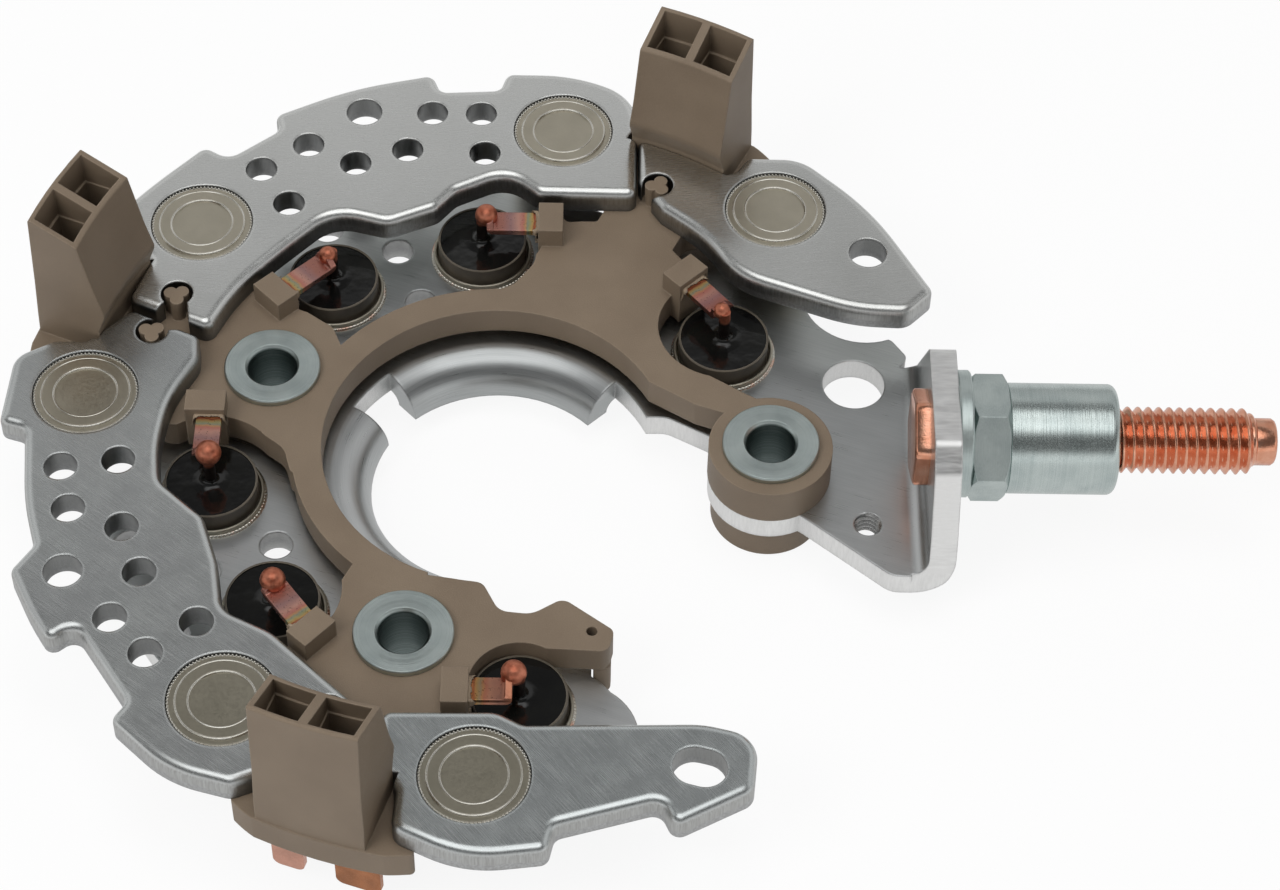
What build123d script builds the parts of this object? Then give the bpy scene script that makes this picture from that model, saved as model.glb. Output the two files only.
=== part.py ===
from build123d import *
from collections import namedtuple
import math
import os

os.makedirs("parts", exist_ok=True)

# Alternator rectifier: twelve press-fit diodes in two levels of aluminium plate round the shaft.
# Origin on the shaft axis at the top face of the negative plates, +X along the output stud.

# Levels along the shaft axis
PLATE = 3.2                                # thickness of every aluminium plate
EDGE_ROLL = 1.1                            # the die rolls the top edge of a negative plate
CARRIER_TOP = -PLATE                       # the negative plates lie on the moulding
WEB_BOTTOM = -7.0
FOOT_BOTTOM = -7.2
SINK_TOP = -8.3
SINK_BOTTOM = SINK_TOP - PLATE
INSULATOR_BOTTOM = -16.1

# The three terminal towers stand on these lines, in degrees round the shaft
TOWER_LINES = {"t1": 251.5, "t2": 157.4, "t3": 63.9}

# Press-fit diode, measured from its base face
CUP_RADIUS = 12.75 / 2
CUP_HEIGHT = 4.1
CUP_FLOOR = 1.5
CUP_BORE = 5.6
SLEEVE_WALL = 0.25
SLEEVE_HEIGHT = 6.2
POTTING_HEIGHT = 6.05
CHIP_SIDE = 4.2
CHIP_THICK = 0.35
LEAD_RADIUS = 0.7
LEAD_HEAD_RADIUS = 1.9
LEAD_HEAD_THICK = 0.5

# Negative diodes sit in pairs, one each side of a tower
NEGATIVE_RADIUS = 49.5
NEGATIVE_SPREAD = 17.7
NEGATIVE_LEAD_END = 10.3

# Positive diodes: place, weld ball diameter, the block that holds the strap and its turn,
# the way the strap runs and how far beside the block's middle, tower, side of it
Positive = namedtuple("Positive", "x y ball block_x block_y block_turn heading shift line side")
POSITIVE = [
    Positive(27.75, 18.85, 2.1, 22.9, 25.5, -46, -50, 0, "t3", -1),
    Positive(-2.8, 34.7, 2.85, 5.95, 34.15, 180, 180, 0, "t3", 1),
    Positive(-21.3, 27.9, 2.35, -27.8, 21.4, 44, 44, 0, "t2", -1),
    Positive(-33.9, -4.85, 3.1, -34.9, 3.5, -90, -90, 0.5, "t2", 1),
    Positive(-25.25, -22.3, 3.0, -20.0, -29.55, 138, 127, 0, "t1", -1),
    Positive(3.85, -35.3, 3.0, -3.35, -37.3, 0, 0, 0, "t1", 1),
]
WELD_LEVEL = -0.8
BEAD_SHIFT = 0.6                           # the bead leans from the lead towards the strap
BLOCK_LENGTH = 4.8
BLOCK_THICK = 3.1
BLOCK_TOP = -0.3

# Phase terminals, folded from copper strip
STRIP = 0.8
STRAP_WIDTH = 3.1
STRAP_LEVEL = -1.7
BUS_WIDTH = 2.4
BUS_LEVEL = -5.1
BUS_LINE = 6.9                             # how far the bus runs from the tower's line
BUS_NECK = 3.7                             # and where it passes the neck of the arm
TIP_WIDTH = 1.9                            # the strap tapers to this at the weld
BRANCH_LEVEL = -9.2
TAB_FACE = 58.0
TAB_BOTTOM = -12.6
TAB_WIDTHS = {-1: (1.4, 5.2), 1: (2.4, 7.8)}

# Towers, in their own frame: along the line from the shaft, and across it
TOWER_TOP_OUTER = 17.2
TOWER_TOP_INNER = 14.8
TOWER_HALF_TOP = 6.35
TOWER_HALF_BASE = 6.5
TOWER_WALL = 0.8
TOWER_DIVIDER = 1.4

# Bushes through moulding, plate and insulator
BUSHES = [(-27.55, 10.83), (-9.63, -28.57), (33.14, 0.0)]
BUSH_BORE = 2.9
BUSH_RADIUS = 4.0
BUSH_FLANGE = 5.85
BUSH_TOP = -2.4
BOSS_RADIUS = 7.5
SPIGOT_RADIUS = 5.2
COLLAR_RADIUS = 6.85

# Rotor opening with turned-down lips
OPENING_RADIUS = 20.0
LIP_RADIUS = 4.7
LIP_ARCS = [(44, 133), (152.5, 256)]

# Output stud, level with the middle of the ear
STUD_LEVEL = -1.03
EAR_INNER = 51.8
EAR_OUTER = EAR_INNER + PLATE
EAR_BEND = 2.0
THREAD_RADIUS = 4.0
PITCH_RADIUS = 3.6                         # nut and stud meet here, on the pitch line of the thread
PRESS_RADIUS = 4.4                         # knurled shoulder pressed into the ear
SLEEVE_BORE = 4.1
SLEEVE_END = 74.2
STUD_END = 93.45
THREAD_END = 91.0
STUD_HEAD = 1.9
WASHER = 1.7
WASHER_BORE = 4.5
WASHER_SHIFT = (-0.28, 0.35)               # the washer was clamped a little off the stud's axis
NUT = 4.4
NUT_TURN = 80.7


def rounded(corners):
    """A flat face from corners (x, y, radius); with no radius, the largest arc that fits."""
    edges = []
    ends = []
    count = len(corners)
    for i in range(count):
        here = Vector(corners[i][0], corners[i][1])
        back = Vector(corners[i - 1][0], corners[i - 1][1]) - here
        ahead = Vector(corners[(i + 1) % count][0], corners[(i + 1) % count][1]) - here
        half = math.radians(back.get_angle(ahead)) / 2
        reach = 0.49 * min(back.length, ahead.length)
        if len(corners[i]) == 3:
            reach = min(reach, corners[i][2] / math.tan(half))
        radius = reach * math.tan(half)
        if radius < 0.01:
            ends.append((here, here))
            continue
        start = here + back.normalized() * reach
        end = here + ahead.normalized() * reach
        inward = (back.normalized() + ahead.normalized()).normalized()
        middle = here + inward * (radius / math.sin(half) - radius)
        edges.append(Edge.make_three_point_arc(start, middle, end))
        ends.append((start, end))
    for i in range(count):
        start = ends[i][1]
        end = ends[(i + 1) % count][0]
        if (end - start).length > 0.001:
            edges.append(Edge.make_line(start, end))
    return Face(Wire(edges))


def slab(outline, low, high):
    """A flat piece of one outline between two levels."""
    return extrude(Pos(0, 0, low) * outline, high - low, dir=(0, 0, 1))


def post(x, y, radius, low, high):
    """An upright cylinder between two levels."""
    return Pos(x, y, (low + high) / 2) * Cylinder(radius, high - low)


def turned(profile, arc=360):
    """A solid turned about the Z axis from a face of (radius, height)."""
    return revolve(Plane.XZ * profile, Axis.Z, arc)


def placed(u, v, line):
    """A point along and across a tower's line, in the ring's frame."""
    angle = math.radians(TOWER_LINES[line])
    return (
        u * math.cos(angle) - v * math.sin(angle),
        u * math.sin(angle) + v * math.cos(angle),
    )


def negative_places():
    """The six negative diodes: place, tower, side of it."""
    places = []
    for line in TOWER_LINES:
        for side in (-1, 1):
            angle = math.radians(TOWER_LINES[line] + side * NEGATIVE_SPREAD)
            x = NEGATIVE_RADIUS * math.cos(angle)
            y = NEGATIVE_RADIUS * math.sin(angle)
            places.append((x, y, line, side))
    return places


NEGATIVE = negative_places()


def diode_cup():
    """Knurled copper cup, base face at zero, with the stepped ring of its base."""
    outline = Polyline(
        (0, 0.2), (3.7, 0.2), (3.9, 0), (5.2, 0), (5.4, 0.25), (6.0, 0.25), (CUP_RADIUS, 0.6),
        (CUP_RADIUS, 3.2), (6.25, 3.3), (6.25, CUP_HEIGHT - 0.15), (6.1, CUP_HEIGHT),
        (5.9, CUP_HEIGHT), (5.7, 3.6), (CUP_BORE, 3.6), (CUP_BORE, CUP_FLOOR), (0, CUP_FLOOR),
        close=True,
    )
    return turned(make_face(outline))


def diode_sleeve():
    """Thin sleeve that held the potting while it set."""
    inner = CUP_BORE - SLEEVE_WALL
    outline = Polyline(
        (inner, CUP_FLOOR), (CUP_BORE, CUP_FLOOR), (CUP_BORE, SLEEVE_HEIGHT - 0.05),
        (CUP_BORE - 0.05, SLEEVE_HEIGHT), (inner, SLEEVE_HEIGHT), close=True,
    )
    return turned(make_face(outline))


def diode_chip():
    """Silicon chip soldered to the floor of the cup."""
    return Pos(0, 0, CUP_FLOOR + CHIP_THICK / 2) * Box(CHIP_SIDE, CHIP_SIDE, CHIP_THICK)


def diode_lead(length, ball, towards, heading):
    """Nail-headed lead with the weld ball that joins it to its strap."""
    foot = CUP_FLOOR + CHIP_THICK
    head = post(0, 0, LEAD_HEAD_RADIUS, foot, foot + LEAD_HEAD_THICK)
    shaft = post(0, 0, LEAD_RADIUS, foot, length + 0.3)
    bead = Pos(*towards, length) * Rot(0, 0, heading + 135) * Sphere(ball / 2)
    return head + shaft + bead


def diode_potting(lead):
    """Glossy potting, a little hollow from the wall to the lead."""
    inner = CUP_BORE - SLEEVE_WALL
    blank = post(0, 0, inner, CUP_FLOOR, POTTING_HEIGHT)
    return blank - diode_chip() - lead


def positive_diode(row):
    """Place of a positive diode, and its lead: base down in the lower plate."""
    angle = math.radians(row.heading)
    towards = (-BEAD_SHIFT * math.cos(angle), -BEAD_SHIFT * math.sin(angle))
    lead = diode_lead(WELD_LEVEL - SINK_BOTTOM, row.ball, towards, row.heading)
    return Pos(row.x, row.y, SINK_BOTTOM), lead


def negative_diode(row):
    """Place of a negative diode, and its lead: the same part upside down in an upper plate."""
    x, y, line, side = row
    lead = diode_lead(NEGATIVE_LEAD_END, 2.6, (0, 0), 0)
    return Pos(x, y, 0) * Rot(180, 0, 0), lead


def strap(row):
    """Folded end of a terminal: out of its block, along, and up to the lead, leaning to the weld."""
    frame = Pos(row.block_x, row.block_y, 0) * Rot(0, 0, row.heading)
    angle = math.radians(row.heading)
    away = Vector(row.x - row.block_x, row.y - row.block_y)
    end = away.X * math.cos(angle) + away.Y * math.sin(angle) - LEAD_RADIUS
    weld = away.Y * math.cos(angle) - away.X * math.sin(angle)
    low = STRAP_LEVEL - STRIP / 2
    high = STRAP_LEVEL + STRIP / 2
    bottom = BUS_LEVEL - STRIP / 2
    tip = WELD_LEVEL + 0.5
    section = rounded([
        (-STRIP / 2, bottom, 0), (STRIP / 2, bottom, 0), (STRIP / 2, low, 0.3), (end, low, 1.1),
        (end, tip, 0.2), (end - STRIP, tip, 0.2), (end - STRIP, high, 0.3), (-STRIP / 2, high, 1.1),
    ])
    half = STRAP_WIDTH / 2
    outline = rounded([
        (row.shift - half, bottom, 0), (row.shift + half, bottom, 0), (row.shift + half, high, 0.6),
        (weld + TIP_WIDTH / 2, tip, 0.3), (weld - TIP_WIDTH / 2, tip, 0.3), (row.shift - half, high, 0.6),
    ])
    bent = extrude(Plane.XZ * section, STRAP_WIDTH * 2, both=True)
    return frame * (bent & extrude(Plane.YZ.offset(-1) * outline, end + 2, dir=(1, 0, 0)))


def phase_terminal(row):
    """Copper strip from the strap at the positive diode to the stator tab and the negative diode."""
    side = row.side
    bottom = BUS_LEVEL - STRIP / 2
    top = BUS_LEVEL + STRIP / 2
    route = [(row.block_x, row.block_y)]
    for u, v in ((36.8, BUS_NECK), (41.5, BUS_NECK), (45, BUS_LINE), (TAB_FACE, BUS_LINE)):
        route.append(placed(u, side * v, row.line))
    bus = slab(trace(Polyline(*route), BUS_WIDTH), bottom, top)
    inner = BUS_LINE - BUS_WIDTH / 2
    outer = BUS_LINE + BUS_WIDTH / 2
    tab_near, tab_far = TAB_WIDTHS[side]
    collar = Pos(TAB_FACE - STRIP / 2, side * (tab_near + outer) / 2, BUS_LEVEL)
    collar = collar * Box(STRIP, outer - tab_near, STRIP)
    tab_section = rounded([
        (side * tab_near, top, 0), (side * tab_far, top, 0),
        (side * tab_far, TAB_BOTTOM, 1.0), (side * tab_near, TAB_BOTTOM, 1.0),
    ])
    tab = Pos(TAB_FACE - STRIP, 0, 0) * extrude(Plane.YZ * tab_section, STRIP, dir=(1, 0, 0))
    reach = NEGATIVE_RADIUS * math.sin(math.radians(NEGATIVE_SPREAD)) + 1.6
    along = NEGATIVE_RADIUS * math.cos(math.radians(NEGATIVE_SPREAD))
    branch_top = BRANCH_LEVEL + STRIP / 2
    branch_low = BRANCH_LEVEL - STRIP / 2
    branch_section = rounded([
        (side * inner, top, 0), (side * (inner + STRIP), top, 0),
        (side * (inner + STRIP), branch_top, 0.3), (side * reach, branch_top, 0),
        (side * reach, branch_low, 0), (side * inner, branch_low, 1.1),
    ])
    branch = Pos(along, 0, 0) * extrude(Plane.YZ * branch_section, BUS_WIDTH / 2, both=True)
    return strap(row) + bus + Rot(0, 0, TOWER_LINES[row.line]) * (collar + tab + branch)


def tower(line):
    """Two-cell terminal tower: walls concentric with the ring, straight sides, oblique mouth."""
    outer_base = 59.1
    outer_top = 57.9
    inner_top = 51.7
    inner_base = 50.3
    bulge = 49.5
    wall = rounded([
        (inner_base, FOOT_BOTTOM, 0), (outer_base, FOOT_BOTTOM, 0),
        (outer_top, TOWER_TOP_OUTER, 0.3), (inner_top, TOWER_TOP_INNER, 0.3),
        (bulge + 0.7, 7.5, 4), (bulge - 0.3, 3.6, 1.8), (inner_base, 0.6, 0.8),
    ])
    body = Rot(0, 0, -10) * turned(wall, 20)
    sides = rounded([
        (-TOWER_HALF_BASE, FOOT_BOTTOM, 0), (TOWER_HALF_BASE, FOOT_BOTTOM, 0),
        (TOWER_HALF_BASE, 0, 3), (TOWER_HALF_TOP, 6, 6), (TOWER_HALF_TOP, 20, 0),
        (-TOWER_HALF_TOP, 20, 0), (-TOWER_HALF_TOP, 6, 6), (-TOWER_HALF_BASE, 0, 3),
    ])
    body = body & extrude(Plane.YZ.offset(45) * sides, 20, dir=(1, 0, 0))
    return Rot(0, 0, TOWER_LINES[line]) * body


def tower_cells(line):
    """The two open cells of a tower, right through its foot."""
    cell = rounded([
        (52.5, FOOT_BOTTOM - 1, 0), (56.8, FOOT_BOTTOM - 1, 0), (56.8, 0, 5),
        (57.1, TOWER_TOP_OUTER + 1, 0), (52.5, TOWER_TOP_OUTER + 1, 0),
    ])
    space = Rot(0, 0, -10) * turned(cell, 20)
    step = rounded([
        (52.3, 12.5, 0), (57.3, 12.5, 0), (57.3, 19, 0), (52.3, 19, 0),
    ])
    mouth = Rot(0, 0, -10) * turned(step, 20)
    cells = []
    for side in (-1, 1):
        near = TOWER_DIVIDER / 2
        far = TOWER_HALF_TOP - TOWER_WALL
        width = far - near
        inner_box = Pos(55, side * (near + far) / 2, 5) * Box(12, width, 30)
        mouth_box = Pos(55, side * (near + far) / 2, 16) * Box(12, width + 0.3, 10)
        cells.append(Rot(0, 0, TOWER_LINES[line]) * (space & inner_box))
        cells.append(Rot(0, 0, TOWER_LINES[line]) * (mouth & mouth_box))
    return cells


def arm(line):
    """Web from a hub to its tower, with the crescent foot under the tower."""
    web = rounded([
        (32, -9.5, 1), (35.5, -9.05, 0.6), (36.7, -7.1, 0.6), (37.6, -5.3, 0.5), (41, -5.3, 2),
        (44.5, -8.6, 1), (53.5, -10.5, 1), (53.5, 10.5, 1), (44.5, 8.6, 1), (41, 5.3, 2),
        (37.6, 5.3, 0.5), (36.7, 7.1, 0.6), (35.5, 9.05, 0.6), (32, 9.5, 1),
    ])
    foot = rounded([
        (52.8, -7.7, 1), (55.3, -7.8, 1), (57.0, -10.6, 0.6), (58.6, -7.5), (59.5, -3.5),
        (59.5, 4), (58.6, 8.5), (57.2, 11.9, 0.6), (55.9, 11, 1), (52.8, 7.9, 1),
    ])
    body = slab(web, WEB_BOTTOM, CARRIER_TOP) + slab(foot, FOOT_BOTTOM, CARRIER_TOP)
    body = body & post(0, 0, 59.1, FOOT_BOTTOM, CARRIER_TOP)
    return Rot(0, 0, TOWER_LINES[line]) * body


def trefoil(x, y, line):
    """Small three-lobed locating post."""
    shape = post(x, y, 0.9, CARRIER_TOP, -0.1)
    for k in range(3):
        angle = math.radians(TOWER_LINES[line] + 120 * k)
        shape += post(x + 0.8 * math.cos(angle), y + 0.8 * math.sin(angle), 0.85, CARRIER_TOP, -0.1)
    return shape


POSTS = [(44.5, -3.2, "t2"), (44.5, 3.3, "t2"), (44.2, 0.0, "t3"), (44.5, -3.2, "t1")]


def web_regions():
    """The flat web between the hubs, blocks and arms."""
    band = post(0, 0, 24.5, WEB_BOTTOM, CARRIER_TOP) - post(0, 0, 20.9, WEB_BOTTOM, CARRIER_TOP)
    keep = Face(Wire.make_polygon([
        (0, 0), (-10.3, -28), (-40, -40), (-40, 40), (2.9, 28),
    ]))
    body = band & slab(keep, WEB_BOTTOM, CARRIER_TOP)
    left = rounded([
        (-18.5, 12.5, 0), (-20.6, 17.7, 2), (-25.0, 20.9, 2), (-28.35, 24.2, 1), (-34, 28, 3),
        (-40, 24, 2), (-46, 8, 2), (-40, 2, 2), (-37.2, 1.95, 0.5), (-29.5, 1.9, 2),
        (-25.3, -1.4, 3), (-24, -6, 2), (-21.5, -4, 0),
    ])
    top = rounded([
        (2.2, 19.9, 4), (24.1, 6.3, 1.5), (33.1, 3, 0), (33, 6.5, 0), (30.2, 8.1, 3),
        (24.1, 12, 3), (20, 17), (21.5, 21.3, 2), (25.7, 26.05, 0.5), (23.0, 28.9, 1),
        (21.2, 31.3, 1), (23, 36, 2), (12.9, 41, 1), (12.4, 36.1, 1), (7.5, 35.9, 1),
        (7.4, 38, 0.5), (4.4, 36.65, 0.5), (4.1, 29, 4), (1.5, 25.2, 3), (-2.4, 23.5, 1),
    ])
    bottom = rounded([
        (-14.5, -15.5, 0), (-17, -20.5, 3), (-19.55, -26.7, 1), (-22.75, -30.3, 0.5),
        (-24.5, -35, 2), (-20, -42, 2), (-5, -45, 2), (-1.7, -39.9, 0.5), (-1.2, -33.4, 1.5),
        (3, -30, 2), (13.9, -30.5, 1.2), (14.6, -27.6, 1), (8.6, -23.1, 1.5), (5, -25.4, 3),
        (1.2, -25, 2), (-0.8, -21, 1.5), (-7.2, -20, 0), (-8, -18.8, 0),
    ])
    for outline in (left, top, bottom):
        body += slab(outline, WEB_BOTTOM, CARRIER_TOP)
    leg = rounded([(12.2, -30.3, 0.3), (14.2, -30.3, 0.8), (14.3, -28.2, 0.5), (12.2, -28.4, 0.3)])
    return body + slab(leg, SINK_BOTTOM, WEB_BOTTOM)


def terminal_carrier(terminals):
    """Moulded carrier: web, hubs, arms, two-cell towers, blocks and posts in one piece."""
    body = web_regions()
    for x, y in BUSHES:
        body += post(x, y, BOSS_RADIUS, SINK_TOP, CARRIER_TOP)
    for line in TOWER_LINES:
        body += arm(line)
    body -= post(0, 0, 20.9, SINK_TOP, 0) - post(33.14, 0, 12, SINK_TOP, 0)
    for row in POSITIVE:
        clear = 5.9 if row is POSITIVE[5] else 8.2
        body -= post(row.x, row.y, clear, SINK_TOP - 1, 0)
    for x, y, line, side in NEGATIVE:
        body -= post(x, y, CUP_RADIUS + 0.2, SINK_TOP - 1, 0)
    for row in POSITIVE:
        block = Pos(row.block_x, row.block_y, (WEB_BOTTOM + BLOCK_TOP) / 2) * Rot(0, 0, row.block_turn)
        body += block * Box(BLOCK_THICK, BLOCK_LENGTH, BLOCK_TOP - WEB_BOTTOM)
    for line in TOWER_LINES:
        body += tower(line)
    for u, v, line in POSTS:
        body += trefoil(*placed(u, v, line), line)
    for line in TOWER_LINES:
        for cell in tower_cells(line):
            body -= cell
    for x, y in BUSHES:
        body -= post(x, y, BUSH_RADIUS, SINK_TOP - 1, 0)
    body -= post(12, -27.7, 0.65, SINK_TOP, 0)
    for terminal in terminals:
        body -= terminal
    return body


def tower_gap(line):
    """Room for a tower's foot in the plates round it."""
    outline = Rectangle(14, 14.3, align=(Align.MIN, Align.CENTER))
    gap = slab(Pos(49, 0) * outline, -PLATE, 0) - post(0, 0, 50.2, -PLATE, 0)
    return Rot(0, 0, TOWER_LINES[line]) * gap


def stamped(corners, round_holes, gaps):
    """One negative plate: outline with die-rolled top edge, holes, and room for the towers."""
    plate = slab(rounded(corners), -PLATE, 0)
    rim = plate.faces().sort_by(Axis.Z)[-1].outer_wire()
    plate = fillet(rim.edges(), EDGE_ROLL)
    for gap in gaps:
        plate -= gap
    for x, y, radius in round_holes:
        plate -= post(x, y, radius, -PLATE, 0)
    for x, y, line, side in NEGATIVE:
        bore = post(x, y, CUP_RADIUS, -PLATE, 0)
        if (plate & bore) is not None:
            plate -= bore
    return plate


def negative_plate_rear():
    """Plate behind the shaft, between the second and third towers."""
    corners = [
        (-48.2, 34.2, 1.5), (-44.6, 38.9), (-38.6, 45.6, 1.5), (-35.4, 43.6, 2), (-29.4, 48.6, 1.5),
        (-30.0, 51.3, 1.3), (-20.5, 56.4), (-10.0, 59.1, 1.3), (-8.8, 56.0, 1.3), (-1.2, 56.5, 1.3),
        (-0.3, 59.5, 1.3), (8.5, 59.5), (16.75, 55.6, 7), (16.75, 37.9, 1.3), (4.3, 38.0, 2),
        (0.2, 41.6, 4), (-6.2, 38.2, 2), (-8.4, 35.3, 2), (-14.5, 32.5, 3), (-21.5, 34.4, 5),
        (-29.2, 25.8), (-32.7, 21.0), (-35.4, 14.8, 1.3), (-45.8, 19.2, 1.3), (-43.6, 26.0, 1.5),
        (-45.2, 27.4, 1.3),
    ]
    holes = [
        (-18.5, 51.7, 2.3), (-9.7, 51.7, 2), (-3.4, 51.7, 2), (-25.3, 45.7, 2), (-19.1, 42.6, 2),
        (-12.6, 45.1, 2), (-2.7, 44.7, 2), (-31.0, 41.3, 2), (-27.1, 35.5, 2), (-39.8, 20.1, 2.0),
    ]
    throat = rounded([(-37.9, 14.8, 0), (-38.4, 18.8, 0), (-41.2, 18.8, 0), (-42.9, 16.9, 0)])
    return stamped(corners, holes, [tower_gap("t2"), tower_gap("t3"), slab(throat, -PLATE, 0)])


def negative_plate_left():
    """Plate left of the shaft, between the first and second towers."""
    corners = [
        (-54.0, 12.6, 1.3), (-58.6, 10.0, 3), (-59.2, -0.4, 1.3), (-56.0, -1.4, 1.3), (-54.8, -12),
        (-52.9, -18.5, 1.3), (-55.2, -22.2, 1.3), (-52.2, -28.4), (-49.6, -32.4, 1.2), (-46.8, -29.9, 1.5),
        (-40.0, -40.2, 1.3), (-41.6, -42.7, 1.3), (-34.8, -49.2), (-27.5, -51.2, 2), (-20.4, -48.2, 1.3),
        (-16.6, -47.0, 1.3), (-14.8, -39.6, 1.3), (-24.5, -30.2, 8), (-30.3, -27.3, 3),
        (-31.4, -20.5, 6), (-33.6, -14, 3), (-39.2, -8.8, 3), (-39.9, -3.5), (-39.2, 4.0),
        (-36.2, 10.2, 3), (-36.5, 13.6, 1.3), (-45.2, 17.8, 1.3), (-50.2, 12.6, 1.3),
    ]
    holes = [
        (-49.0, -22.5, 2.3), (-51.0, -7.2, 2), (-44.3, -6.1, 2), (-49.4, -13.4, 2), (-42.9, -16.0, 2),
        (-40.2, -22.5, 2), (-42.9, -29.0, 2), (-33.0, -29.4, 2), (-38.4, -33.8, 2), (-42.3, 14.05, 2.0),
    ]
    throat = rounded([(-38.6, 14.5, 0), (-41.2, 13.9, 0), (-42.4, 16.0, 0), (-43.0, 17.6, 0), (-39, 17, 0)])
    x, y = placed(44.5, -3.2, "t1")
    gaps = [tower_gap("t1"), tower_gap("t2"), slab(throat, -PLATE, 0)]
    return stamped(corners, holes + [(x, y, 2.0)], gaps)


def negative_plate_right():
    """Plate right of the shaft, from the third tower to the ear."""
    corners = [
        (16.95, 49.5, 1.3), (16.95, 40.5, 1.3), (19.9, 35.8, 1.3), (25.2, 31.4), (29.0, 24.8),
        (43.5, 19.2), (50.3, 18.9, 2.5), (53.8, 22.6, 1.5), (46.4, 36.6), (37.8, 45.0, 6),
        (30.9, 45.0, 1.3), (29.0, 41.8, 1.3),
    ]
    holes = [(45.7, 28.6, 2.375), (19.4, 39.65, 2.0)]
    return stamped(corners, holes, [tower_gap("t3")])


def negative_plate_front():
    """Plate in front of the shaft, with the slotted nose at its right."""
    corners = [
        (-11.5, -41.0, 1.3), (1.6, -40.8, 4), (4.6, -42.5, 2), (24.6, -42.0, 12), (30.9, -43.6, 5),
        (30.2, -51.0, 2), (21.4, -55.8, 1.3), (19.9, -52.4, 1.5), (8.3, -55.9, 1.3), (7.6, -59.1, 1.3),
        (-1.5, -60.3), (-9.6, -56.4, 2), (-9.3, -51.4, 1.3), (-11.2, -49.4, 1.3),
    ]
    slot = Pos(24.2, -48.1, -PLATE / 2) * Rot(0, 0, -15) * extrude(SlotOverall(6.2, 5.0), PLATE, both=True)
    return stamped(corners, [], [tower_gap("t1")]) - slot


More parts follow.
